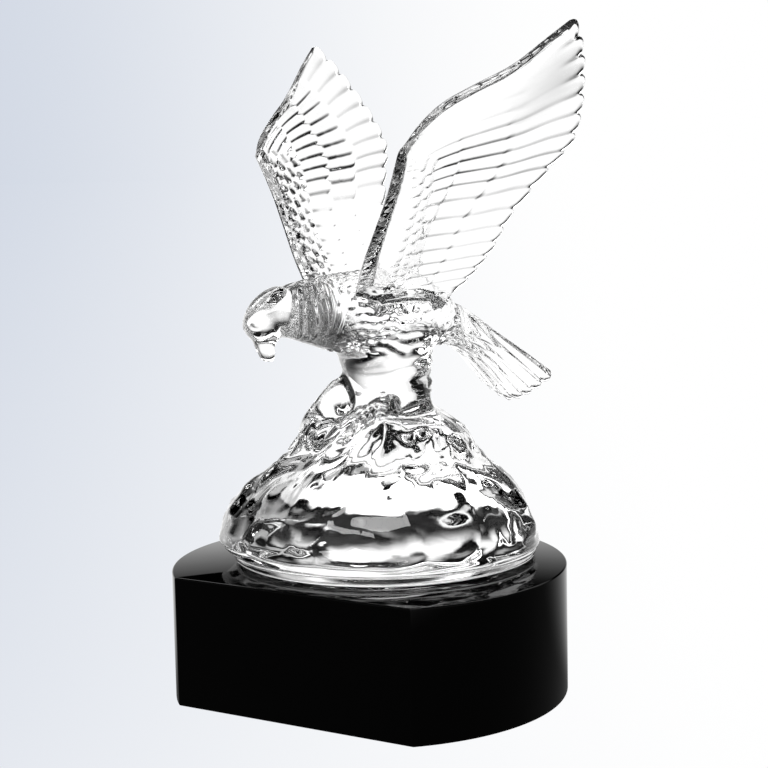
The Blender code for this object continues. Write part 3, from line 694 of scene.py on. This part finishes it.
def wing_columns(rows):
    """Places across the wing, with two close together where each row of coverts ends."""
    stops = np.array([RIM_SHARE, *rows, TRAIL_SHARE])
    density = np.linspace(*COLUMN_DENSITY, len(stops) - 1)
    share = np.concatenate([[0], np.cumsum(np.diff(stops) * density)])
    share = share / share[-1]
    counts = np.diff(np.round(share * WING_COLUMNS).astype(int))
    columns = list(RIM_SHARE * np.array(RIM_COLUMNS))
    for start, end, count in zip(stops[:-1], stops[1:], counts):
        columns += list(np.linspace(start + ROW_EDGE, end - ROW_EDGE, count))
    return np.array(columns + list(1 - (1 - TRAIL_SHARE) * np.array(TRAIL_COLUMNS)))


def row_tips(s, t, rows, chord, reach):
    """How far the rounded tips of the coverts push the columns across the wing."""
    push = 0 * s
    for k, end in enumerate(rows):
        near = np.clip(1 - abs(t - end) / ROW_TIP_SPAN, 0, 1)
        push = push + near * reach / chord * (dome(across_feather(s, row_shift(k, len(rows)))) - ROW_TIP_MIDDLE)
    return push


def row_shift(row, last):
    """On the inner face, each row of feathers is set half a feather off the next one."""
    return 0.5 * ((last - row) % 2) * (last == len(INNER_ROWS))


def wing_rows(s, t, rows, chord, rounding):
    """Height of the overlapping rows of feathers, the ridge of each feather on its own, and the row."""
    starts, ends = np.array([0.0, *rows]), np.array([*rows, 1.0])
    row = np.searchsorted(np.array(rows), t)
    last = len(rows)
    v = (t - starts[row]) / (ends[row] - starts[row])
    x = np.where(row_shift(row, last) > 0, across_feather(s, 0.5), across_feather(s))
    to_end = np.where(row == last, FAR, (ends[row] - t) * chord)
    end = dome(1 - np.clip(to_end / rounding, 0, 1))
    layer = ROW_STEP * (last - row) * (ROW_LOW[0] + (1 - ROW_LOW[0]) * end)
    layer = layer + np.where(row == last, 0, ROW_LOW[1] * ROW_STEP * (v - 1))
    return layer, FEATHER_CREST * crest(x) * end, row


def outer_carving(s, t, chord, inset, along):
    """The outer face: beads, two rows of coverts and long feathers, smooth towards the hand."""
    layer, ridge, row = wing_rows(s, t, OUTER_ROWS, chord, ROW_ROUND[0])
    smooth_tip = rise(s, *SMOOTH_HAND) * fall(t, *SMOOTH_TO)
    height = (layer + ridge * np.where(row == len(OUTER_ROWS), OUTER_CREST, 1)) * (1 - smooth_tip)
    on_arm = rise(s, *BEADS_FROM) * (1 - rise(s, *BEADS_TO)) * (1 - rise(t * chord, inset, BEADS_TURN))
    for k, column in enumerate(BEAD_COLUMNS):
        a = 2 * ((along / BEAD + 0.5 * k) % 1) - 1
        away = np.sqrt(a * a + ((inset - column) / BEAD_SIZE) ** 2)
        bead = layer * BEAD_BASE + BEAD_HEIGHT * dome(away / BEAD_REACH)
        height = np.where(away < BEAD_REACH, height + (bead - height) * on_arm, height)
    return height


def inner_carving(s, t, chord, inset, along):
    """The inner face: columns of scales inside the rim, two rows of coverts, long feathers."""
    layer, ridge, row = wing_rows(s, t, INNER_ROWS, chord, ROW_ROUND[1])
    plain = (1 - rise(s, *PLAIN_ALONG)) * rise(t, *PLAIN_ACROSS)
    ridge = ridge * (1 - plain) * np.where(row == len(INNER_ROWS), INNER_CREST, INNER_COVERT_CREST)
    on_arm = 1 - rise(s, *WING_SCALES_TO)
    scale = tiles(along, inset, WING_SCALE) * WING_SCALE_HEIGHT
    return layer + np.where(row == 0, scale * on_arm + ridge * (1 - on_arm), ridge)


def wing_sheet(rows, carving, facing, share, tips, rim):
    """One face of the left wing, facing 1 for the outer one and -1 for the inner one."""
    numbers = np.add.outer(np.arange(FEATHERS - 1), FEATHER_RINGS).reshape(-1)
    last = FEATHERS - 1 + np.sin(np.linspace(0, math.pi / 2, HAND_RINGS))
    rings = np.concatenate([ROOT_RINGS, feather_start(numbers), feather_start(last)])
    s, t = np.meshgrid(rings, wing_columns(rows), indexing="ij")
    lead, trail = wing_outline(s, 0 * t), wing_outline(s, 0 * t + 1)
    chord = np.linalg.norm(trail - lead, axis=-1)
    own = fall(s, 1, SHARED_EDGE[1]) * rise(s, 0, SHARED_EDGE[0])
    moved = (t + row_tips(s, t, rows, chord, tips)) * own + wing_columns(OUTER_ROWS) * (1 - own)
    place = wing_outline(s, moved)
    to_hand = (1 - s) * np.linalg.norm(wing_outline(0 * s + 1, t) - wing_outline(0 * s + 0.5, t), axis=-1) * 2
    x = across_feather(s)
    tip = FEATHER_TIP * (1 - abs(x) ** FEATHER_TIP_ROUND) * (1 + FEATHER_TIP_LEAN * x)
    tip = tip * (FEATHER_TIP_AT_ROOT + (1 - FEATHER_TIP_AT_ROOT) * s)
    tip = tip * rise(t, *FEATHER_TIP_FROM) * (s < FEATHER_TIPS_TO)
    place = place + (trail - lead) / chord[..., None] * tip[..., None]
    forward, up = place[..., 0], place[..., 1]
    left = WING_ROOT_LEFT + WING_LEAN * (up - WING_PLANE_AT[1]) - WING_SWEEP * (forward - WING_PLANE_AT[0])
    tuck = WING_TUCK * s**3 * np.sin(math.pi * np.minimum(moved / WING_TUCK_SPAN, 1)) ** 2
    left = left + WING_CAMBER * np.sin(math.pi * moved) - tuck
    outward = np.array([WING_SWEEP, 1, -WING_LEAN])
    outward /= np.linalg.norm(outward)
    inset = np.minimum(moved * chord, to_hand)
    half = wing_half_thickness(s, moved, chord, inset, rim)
    step = np.linalg.norm(np.diff(lead[:, 0], axis=0), axis=-1)
    along = np.concatenate([[0], np.cumsum(step)])[:, None] + 0 * t
    bevel = rim_width(s, moved, rim)
    inside = rise(inset / bevel, *CARVING_FROM)
    carved = share * carving(s, t, chord, inset, along) * inside
    carved = carved * ease((1 - t) * chord / CARVING_ENDS[1]) * ease(s / CARVING_ENDS[0])
    (spacing, deep), (wander, pace) = RIM_STRIATION, RIM_WANDER
    striated = deep * np.sin(2 * math.pi * (along / spacing + wander * np.sin(along * pace)))
    striated = striated * ease(inset) * (1 - inside)
    thick = facing * (half + carved + striated)[..., None] * outward
    thick[0], thick[-1] = 0, 0
    thick[:, 0], thick[:, -1] = 0, 0
    return np.stack([forward, left, up], -1) + thick


def wing(name, side, outer_share, inner_share, rim):
    """One wing, carved on both faces. side is 1 for the left wing and -1 for the right one."""
    outer = wing_sheet(OUTER_ROWS, outer_carving, 1, outer_share, ROW_TIP[0], rim)
    inner = wing_sheet(INNER_ROWS, inner_carving, -1, inner_share, ROW_TIP[1], rim)
    return plate(name, outer * (1, side, 1), inner * (1, side, 1))


def across_tail_feather(v):
    """Where v falls across its own tail feather, -1 to 1."""
    return 2 * (np.clip((v + 1) / 2, 0, 0.9999) * TAIL_FEATHERS % 1) - 1


def tail_point(d, v):
    """A point of the tail's middle surface, d from root to end and v from its right side, -1, to its left."""
    x = across_tail_feather(v)
    reach = d + TAIL_TIP / TAIL_LENGTH * (1 - x * x) * rise(d, *TAIL_TIPS_FROM)
    forward, up = (between(ends, reach) for ends in zip(TAIL_ROOT, TAIL_END))
    up = up + between(TAIL_SWEEP_UP, d) * abs(v) ** TAIL_SWEEP_POWER + TAIL_DROOP * np.sin(math.pi * d)
    return np.stack([forward, v * between(TAIL_HALF_WIDTH, d), up], -1)


def tail():
    """The tail: a fan of feathers, thick at its root and round at its sides and its end."""
    v = np.linspace(-1, 1, TAIL_FEATHERS * RINGS_PER_TAIL_FEATHER + 1)
    v = np.sort(np.concatenate([v, TAIL_SIDE_RINGS, -np.array(TAIL_SIDE_RINGS)]))
    along = np.concatenate([np.linspace(0, TAIL_EVEN_TO, TAIL_COLUMNS), TAIL_END_COLUMNS])
    d, v = np.meshgrid(along, v, indexing="ij")
    middle = tail_point(d, v)
    side = dome(1 - np.clip((1 - abs(v)) * TAIL_SIDE_ROUND, 0, 1))
    end = dome(1 - np.clip((1 - d) * TAIL_LENGTH / TAIL_END_ROUND, 0, 1))
    half = between(TAIL_HALF_THICK, ease(d * TAIL_THINS))
    x = across_tail_feather(v)
    shaft = TAIL_SHAFT[0] * np.exp(-((x / TAIL_SHAFT[1]) ** 2)) * rise(d, *TAIL_SHAFT_FROM)
    ridge = TAIL_CREST[0] * crest(x) * ease(d * TAIL_CREST[1]) + shaft
    half = (half + ridge) * side * end
    half[0] = 0
    slope = math.atan2(TAIL_ROOT[1] - TAIL_END[1], TAIL_ROOT[0] - TAIL_END[0])
    thick = half[..., None] * np.array([-math.sin(slope), 0, math.cos(slope)])
    return plate("tail", middle + thick, middle - thick)


def leg(name, side, forward):
    """A leg, flared where it joins the body."""
    along, across = superellipse(LEG_SIDES, LEG_SQUARENESS)
    slices = curve(LEG, np.linspace(0, 1, LEG_RINGS))
    x, y, z, half_length, half_width = (slices[:, k, None] for k in range(5))
    grid = [x + forward + half_length * along, y + half_width * across, z + 0 * along]
    return loft(name, np.stack(grid, -1) * (1, side, 1))


def shank(name, ankle, size):
    """The smooth shank, which slopes forward from under the leg's feathers to the toes."""
    along, height, radius = curve(SHANK, np.linspace(0, 1, SHANK_RINGS)).T
    middle = np.stack([ankle[0] + along, ankle[1] + 0 * along, height], 1)
    turn = turns(SHANK_SIDES)
    circle = np.stack([0 * turn, np.cos(turn), np.sin(turn)], -1)
    return loft(name, middle[:, None] + (radius * size)[:, None, None] * circle)


def ankle_scutes():
    """The row of broad scutes down the front of the left ankle."""
    found = []
    for k, place in enumerate(curve(ANKLE_SCUTES, np.linspace(0, 1, SCUTES))):
        size = np.array(SCUTE_SIZE) * (SCUTE_GROWTH[0] + SCUTE_GROWTH[1] * k / SCUTES)
        found.append(ellipsoid(f"scute_{k + 1}", place, size, SCUTE_STEPS))
    return found


def toe(name, ankle, heading, length):
    """One toe, from under the shank over the rock, with a row of scutes on top, ending in a talon."""
    turn = math.radians(heading)
    ahead = np.array([math.cos(turn), math.sin(turn)])
    across = np.array([-ahead[1], ahead[0], 0])
    circle = turns(TOE_SIDES)
    rings = []
    for reach in np.linspace(0, length + TALON_LENGTH, TOE_RINGS):
        share = min(reach / length, 1)
        radius = between(TOE_RADIUS, share)
        radius *= math.sqrt(max(TALON_BLUNT, 1 - max(0, reach - length) / TALON_LENGTH))
        scute = TOE_SCUTE[1] * abs(math.sin(math.pi * reach / TOE_SCUTE[0])) * (share < 1)
        x, y = ankle + ahead * reach
        centre = np.array([x, y, rock_height(x, y) + TOE_LIFT[0] + TOE_LIFT[1] * math.sin(math.pi * share)])
        out = radius + scute * np.clip(np.sin(circle), 0, 1)
        rings.append(centre + np.outer(out * np.cos(circle), across) + np.outer(out * np.sin(circle), UP))
    return loft(name, rings)


def unite(parts):
    """Joins solids into one, with the number of its own solid on each face."""
    target = parts[0]
    for k, part in enumerate(parts):
        for _ in range(len(parts)):
            part.data.materials.append(None)
        part.data.polygons.foreach_set("material_index", np.full(len(part.data.polygons), k, np.int32))
    for part in parts[1:]:
        join = target.modifiers.new(part.name, "BOOLEAN")
        join.operation = "UNION"
        join.solver = "MANIFOLD"
        join.object = part
    graph = bpy.context.evaluated_depsgraph_get()
    mesh = bpy.data.meshes.new_from_object(target.evaluated_get(graph))
    for part in parts:
        bpy.data.objects.remove(part)
    return mesh


def soften_seams(mesh, reaches):
    """Rounds the creases where two solids met, as many rows of faces wide as the narrower reach allows."""
    count = len(mesh.vertices)
    points = read(mesh.vertices, "co", 3, float)
    corners = read(mesh.loops, "vertex_index")
    corner_owner = np.repeat(read(mesh.polygons, "material_index"), read(mesh.polygons, "loop_total"))
    lowest, highest = np.full(count, len(reaches) - 1), np.full(count, 0)
    np.minimum.at(lowest, corners, corner_owner)
    np.maximum.at(highest, corners, corner_owner)
    edges = read(mesh.edges, "vertices", 2)
    reaches = np.array(reaches, float)
    reach = np.minimum(reaches[lowest], reaches[highest]) * (lowest != highest)
    for _ in range(int(reaches.max())):
        ahead = reach.copy()
        np.maximum.at(ahead, edges[:, 0], reach[edges[:, 1]] - 1)
        np.maximum.at(ahead, edges[:, 1], reach[edges[:, 0]] - 1)
        reach = ahead
    weight = np.clip(reach / SEAM_FADE, 0, 1)[:, None]
    edges = edges[(reach[edges] > 0).any(1)]
    first, second = edges.T
    degree = np.maximum(np.bincount(edges.reshape(-1), minlength=count), 1)
    for _ in range(SEAM_PASSES):
        for axis in range(3):
            line = points[:, axis]
            total = np.bincount(first, line[second], count) + np.bincount(second, line[first], count)
            line += SEAM_PULL * weight[:, 0] * (total / degree - line)
    mesh.vertices.foreach_set("co", points.reshape(-1))
    return lowest


def feather_body(mesh, chosen):
    """Raises the small feathers on the chosen points of the mesh, which is in metres."""
    points = read(mesh.vertices, "co", 3, float)
    normals = read(mesh.vertex_normals, "vector", 3, np.float32)
    high = body_feathers(points / MM) * chosen
    points += normals * high[:, None] * MM
    mesh.vertices.foreach_set("co", points.reshape(-1))
    mesh.update()


def camera():
    level = math.cos(CAMERA_ELEVATION)
    sideways, ahead = math.sin(CAMERA_AZIMUTH) * level, math.cos(CAMERA_AZIMUTH) * level
    back = Vector((sideways, -ahead, math.sin(CAMERA_ELEVATION)))
    up = back.cross(RIGHT)
    c, s = math.cos(CAMERA_ROLL), math.sin(CAMERA_ROLL)
    pose = Matrix((c * RIGHT - s * up, c * up + s * RIGHT, back)).transposed().to_4x4()
    pose.translation = CAMERA_PLACE
    lens = bpy.data.cameras.new("camera")
    lens.lens = CAMERA_LENS
    lens.sensor_width = CAMERA_SENSOR
    obj = in_scene("camera", lens)
    obj.matrix_world = pose
    bpy.context.scene.camera = obj


class Graph:
    """Shorthand for building a material's or the world's nodes."""

    def __init__(self, tree):
        self.tree = tree

    def add(self, kind, **settings):
        node = self.tree.nodes.new(kind)
        for name, value in settings.items():
            setattr(node, name, value)
        return node

    def feed(self, socket, value):
        if isinstance(value, bpy.types.NodeSocket):
            self.tree.links.new(value, socket)
        else:
            socket.default_value = value

    def math(self, operation, first, second=0.0):
        node = self.add("ShaderNodeMath", operation=operation)
        self.feed(node.inputs[0], first)
        self.feed(node.inputs[1], second)
        return node.outputs[0]

    def along(self, vector, direction):
        """The length of a vector along a direction."""
        node = self.add("ShaderNodeVectorMath", operation="DOT_PRODUCT")
        self.feed(node.inputs[0], vector)
        node.inputs[1].default_value = direction
        return node.outputs["Value"]

    def flat_length(self, vector):
        """The length of a vector's level part."""
        level = self.add("ShaderNodeVectorMath", operation="MULTIPLY")
        self.feed(level.inputs[0], vector)
        level.inputs[1].default_value = (1, 1, 0)
        node = self.add("ShaderNodeVectorMath", operation="LENGTH")
        self.feed(node.inputs[0], level.outputs["Vector"])
        return node.outputs["Value"]

    def noise(self, place, scale, detail):
        node = self.add("ShaderNodeTexNoise")
        for name, value in (("Vector", place), ("Scale", scale), ("Detail", detail)):
            self.feed(node.inputs[name], value)
        return node.outputs[0]

    def smooth(self, value, start, end, low=0.0, high=1.0):
        node = self.add("ShaderNodeMapRange", interpolation_type="SMOOTHSTEP")
        for socket, given in zip(node.inputs, (value, start, end, low, high)):
            self.feed(socket, given)
        return node.outputs[0]

    def mix(self, share, first, second, kind="RGBA"):
        """The first colour or number, or the second where the share is 1."""
        node = self.add("ShaderNodeMix", data_type=kind)
        one, other, result = {"FLOAT": (2, 3, 0), "RGBA": (6, 7, 2)}[kind]
        for place, given in ((0, share), (one, first), (other, second)):
            self.feed(node.inputs[place], given)
        return node.outputs[result]


def new_material(name):
    made = bpy.data.materials.new(name)
    made.use_nodes = True
    return made, made.node_tree.nodes["Principled BSDF"], Graph(made.node_tree)


def hand_polished(graph, shader, grain, roughness, wave):
    """Uneven gloss and faint waves: the size of both, the roughness from and to, and the waves' height."""
    place = graph.add("ShaderNodeTexCoord").outputs["Object"]
    smears = graph.noise(place, 1 / MM / grain[0], 3.0)
    graph.feed(shader.inputs["Roughness"], graph.smooth(smears, *SMEARS, *roughness))
    bump = graph.add("ShaderNodeBump")
    bump.inputs["Strength"].default_value = 1.0
    bump.inputs["Distance"].default_value = wave * MM
    graph.feed(bump.inputs["Height"], graph.noise(place, 1 / MM / grain[1], 1.0))
    graph.feed(shader.inputs["Normal"], bump.outputs["Normal"])


def glow(shader, graph, colour, strength):
    """Black and without reflections but for its own light."""
    shader.inputs["Base Color"].default_value = (0, 0, 0, 1)
    shader.inputs["Specular IOR Level"].default_value = 0
    graph.feed(shader.inputs["Emission Color"], colour)
    graph.feed(shader.inputs["Emission Strength"], strength)


def clear_crystal():
    made, shader, graph = new_material("clear_crystal")
    shader.inputs["Base Color"].default_value = (1, 1, 1, 1)
    shader.inputs["IOR"].default_value = CRYSTAL_IOR
    shader.inputs["Transmission Weight"].default_value = 1
    hand_polished(graph, shader, CRYSTAL_GRAIN, CRYSTAL_ROUGHNESS, CRYSTAL_WAVE)
    return made


def black_glass():
    made, shader, graph = new_material("black_glass")
    shader.inputs["Base Color"].default_value = BLACK_COLOUR
    shader.inputs["Specular IOR Level"].default_value = BLACK_SPECULAR
    hand_polished(graph, shader, BLACK_GRAIN, BLACK_ROUGHNESS, BLACK_WAVE)
    return made


def backdrop_colour(graph, vector, spread):
    """Pale blue-grey at the left of the view, running to white at its right."""
    length = graph.math("ADD", graph.flat_length(vector), spread)
    share = graph.math("DIVIDE", graph.along(vector, RIGHT), length)
    return graph.mix(graph.smooth(share, *BACKDROP_SPAN), BACKDROP_LEFT, BACKDROP_RIGHT)


def backdrop_light(graph, vector, spread, lead):
    """Bright behind the glass, dimmer before it and dark at the sides."""
    length = graph.math("ADD", graph.flat_length(vector), spread)
    facing = graph.math("DIVIDE", graph.math("ADD", graph.along(vector, BEHIND), lead), length)
    edges = [math.cos(math.radians(FIELD_HALF + soft)) for soft in (FIELD_SOFT, -FIELD_SOFT)]
    rear = graph.smooth(facing, *edges)
    front = graph.math("MULTIPLY", graph.smooth(graph.math("MULTIPLY", facing, -1.0), *edges), FIELD_FRONT)
    return graph.math("ADD", graph.math("ADD", rear, front), FIELD_DARK)


def world():
    """The plain backdrop, which the glass sees as a dim room."""
    made = bpy.data.worlds.new("studio")
    bpy.context.scene.world = made
    made.use_nodes = True
    graph = Graph(made.node_tree)
    way = graph.add("ShaderNodeTexCoord").outputs["Generated"]
    direct = graph.add("ShaderNodeLightPath").outputs["Is Camera Ray"]
    room = graph.smooth(graph.along(way, -BEHIND), *FIELD_TURN, FIELD_SIDE, FIELD_FRONT)
    start, end, left = FIELD_HIGH
    room = graph.math("MULTIPLY", room, graph.smooth(graph.along(way, UP), start, end, 1.0, left))
    shader = made.node_tree.nodes["Background"]
    graph.feed(shader.inputs["Color"], graph.mix(direct, (1, 1, 1, 1), backdrop_colour(graph, way, 0.0)))
    graph.feed(shader.inputs["Strength"], graph.mix(direct, room, 1.0, "FLOAT"))


def floor():
    """The plain pale floor, which the glass sees lit behind it and before it."""
    turn = turns(FLOOR_SIDES)
    rim = [(FLOOR_RADIUS * math.cos(a), FLOOR_RADIUS * math.sin(a), 0) for a in turn]
    obj = new_object("floor", rim, [tuple(range(FLOOR_SIDES))])
    made, shader, graph = new_material("pale_floor")
    place = graph.add("ShaderNodeTexCoord").outputs["Object"]
    direct = graph.add("ShaderNodeLightPath").outputs["Is Camera Ray"]
    colour = graph.mix(direct, (1, 1, 1, 1), backdrop_colour(graph, place, FLOOR_SPREAD))
    seen = graph.math("MULTIPLY", backdrop_light(graph, place, GLASS_SPREAD, GLASS_LEAD), GLASS_FLOOR)
    seen = graph.math("ADD", seen, GLASS_FILL)
    shader.inputs["Roughness"].default_value = FLOOR_ROUGHNESS
    glow(shader, graph, colour, graph.mix(direct, seen, 1.0, "FLOAT"))
    obj.data.materials.append(made)


def light_panel():
    """A tall lit panel behind the glass, with a dark band that gives the glass its black lines."""
    half, height = PANEL_SIZE
    corners = [(-half, 0, 0), (half, 0, 0), (half, 0, height), (-half, 0, height)]
    obj = new_object("light_panel", corners, [(0, 1, 2, 3)])
    obj.location = BEHIND * PANEL_PLACE
    obj.rotation_euler = (0, 0, CAMERA_AZIMUTH)
    obj.visible_camera = obj.visible_diffuse = False
    made, shader, graph = new_material("lit_diffuser")
    place = graph.add("ShaderNodeTexCoord").outputs["Object"]
    side = graph.math("ABSOLUTE", graph.math("ADD", graph.along(place, (1, 0, 0)), PANEL_SHIFT))
    up = graph.along(place, UP)
    high = graph.math("MULTIPLY", graph.smooth(up, *PANEL_HIGH), graph.smooth(up, *PANEL_TOP, 1.0, 0.0))
    high = graph.math("MULTIPLY", high, PANEL_HIGH_LIGHT)
    light = graph.math("ADD", graph.smooth(up, *PANEL_LOW, 1.0, 0.0), high)
    light = graph.math("MULTIPLY", light, graph.smooth(side, *PANEL_SIDE, PANEL_LIGHT, PANEL_DIM))
    glow(shader, graph, (1, 1, 1, 1), light)
    obj.data.materials.append(made)


def softbox(name, place, size, power):
    lamp = bpy.data.lights.new(name, "AREA")
    lamp.shape = "RECTANGLE"
    lamp.size, lamp.size_y = size
    lamp.energy = power
    obj = in_scene(name, lamp)
    obj.location = place
    obj.rotation_mode = "QUATERNION"
    obj.rotation_quaternion = (place - SOFTBOX_AIM).to_track_quat("Z", "Y")


def plinth_outline(inset):
    """Points round the plinth: a circle cut off flat in front, with round corners."""
    low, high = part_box("black_glass_plinth")
    radius, flat = (high[0] - low[0]) / 2 / MM - inset, PLINTH_FLAT - inset
    corner = PLINTH_CORNER - inset
    middle = math.sqrt((radius - corner) ** 2 - (flat - corner) ** 2)
    bend = math.atan2(middle, flat - corner)
    arcs = []
    for side in (1, -1):
        turn = np.linspace(0, bend, PLINTH_ROUND_STEPS + 1)[::side]
        across = side * middle + corner * side * np.sin(turn)
        arcs.append(np.stack([across, corner - flat - corner * np.cos(turn)], -1))
    turn = np.linspace(-math.pi / 2 + bend, 3 * math.pi / 2 - bend, PLINTH_STEPS)[1:-1]
    wall = radius * np.stack([np.cos(turn), np.sin(turn)], -1)
    return np.vstack([arcs[1], arcs[0], wall])


def plinth():
    """The plinth: polished black glass with small round rims."""
    low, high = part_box("black_glass_plinth")
    quarter = np.linspace(0, math.pi / 2, PLINTH_ROUND_STEPS + 1)
    foot = low[2] / MM
    steps = [(PLINTH_ROUND * (1 - math.sin(a)), foot + PLINTH_ROUND * (1 - math.cos(a))) for a in quarter]
    steps += [(inset, (low[2] + high[2]) / MM - height) for inset, height in steps[::-1]]
    rings = [np.insert(plinth_outline(inset), 2, height, axis=1) for inset, height in steps]
    obj = loft("polished_plinth", np.array(rings))
    obj.location[:2] = (low[0] + high[0]) / 2, high[1] - (high[0] - low[0]) / 2
    obj.data.materials.append(black_glass())
    obj.data.shade_smooth()
    obj.data.set_sharp_from_angle(angle=math.radians(SHARP_FROM))
    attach(obj, "root")
    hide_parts("black_glass_plinth")


def eagle():
    """The glass. Beside each solid is how many rows of faces its seams' fillets may reach."""
    parts = [
        (rock(), 9),
        (ellipsoid("rock_summit", ROCK_SUMMIT, ROCK_SUMMIT_SIZE, ROCK_SUMMIT_STEPS), 9),
        (ellipsoid("rock_boulder", ROCK_BOULDER, ROCK_BOULDER_SIZE, ROCK_BOULDER_STEPS), 3),
        (torso(), 10),
        (head(), 8),
        (wing("wing_left", 1, 1.0, UNDER_SHARE, LEFT_EDGE), 4),
        (wing("wing_right", -1, HIDDEN_SHARE, 1.0, RIGHT_EDGE), 4),
        (tail(), 6),
        (leg("leg_left", 1, 0), 10),
        (leg("leg_right", -1, RIGHT_LEG_FORWARD), 10),
    ]
    for side, ankle, toes in (("left", LEFT_ANKLE, LEFT_TOES), ("right", RIGHT_ANKLE, RIGHT_TOES)):
        size = SHANK_SIZE[side == "right"]
        parts.append((shank(f"shank_{side}", ankle, size), 5))
        for k, (heading, length) in enumerate(toes):
            parts.append((toe(f"toe_{side}_{k + 1}", ankle, heading, length), 2))
    parts += [(scute, 1) for scute in ankle_scutes()]
    body = [k for k, (part, _) in enumerate(parts) if part.name in FEATHERED]
    mesh = unite([part for part, _ in parts])
    owner = soften_seams(mesh, [reach for _, reach in parts])
    mesh.update()
    feather_body(mesh, np.isin(owner, body))
    mesh.name = "eagle_casting"
    mesh.materials.clear()
    mesh.materials.append(clear_crystal())
    mesh.polygons.foreach_set("material_index", np.zeros(len(mesh.polygons), np.int32))
    mesh.shade_smooth()
    mesh.set_sharp_from_angle(angle=math.radians(SHARP_FROM))
    place = Matrix.Translation((GLASS_PLACE[0] * MM, GLASS_PLACE[1] * MM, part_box("crystal_eagle")[0][2]))
    mesh.transform(place @ Matrix.Rotation(math.radians(-90 - GLASS_TURN), 4, "Z"))
    obj = in_scene("eagle_casting", mesh)
    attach(obj, "root")
    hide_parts("crystal_eagle")


camera()
world()
floor()
light_panel()
softbox("softbox_top", *TOP_SOFTBOX)
softbox("softbox_camera", *CAMERA_SOFTBOX)
eagle()
plinth()
bpy.context.scene.view_settings.view_transform = "Standard"
bpy.context.scene.cycles.max_bounces = BOUNCES
bpy.context.scene.cycles.transmission_bounces = BOUNCES
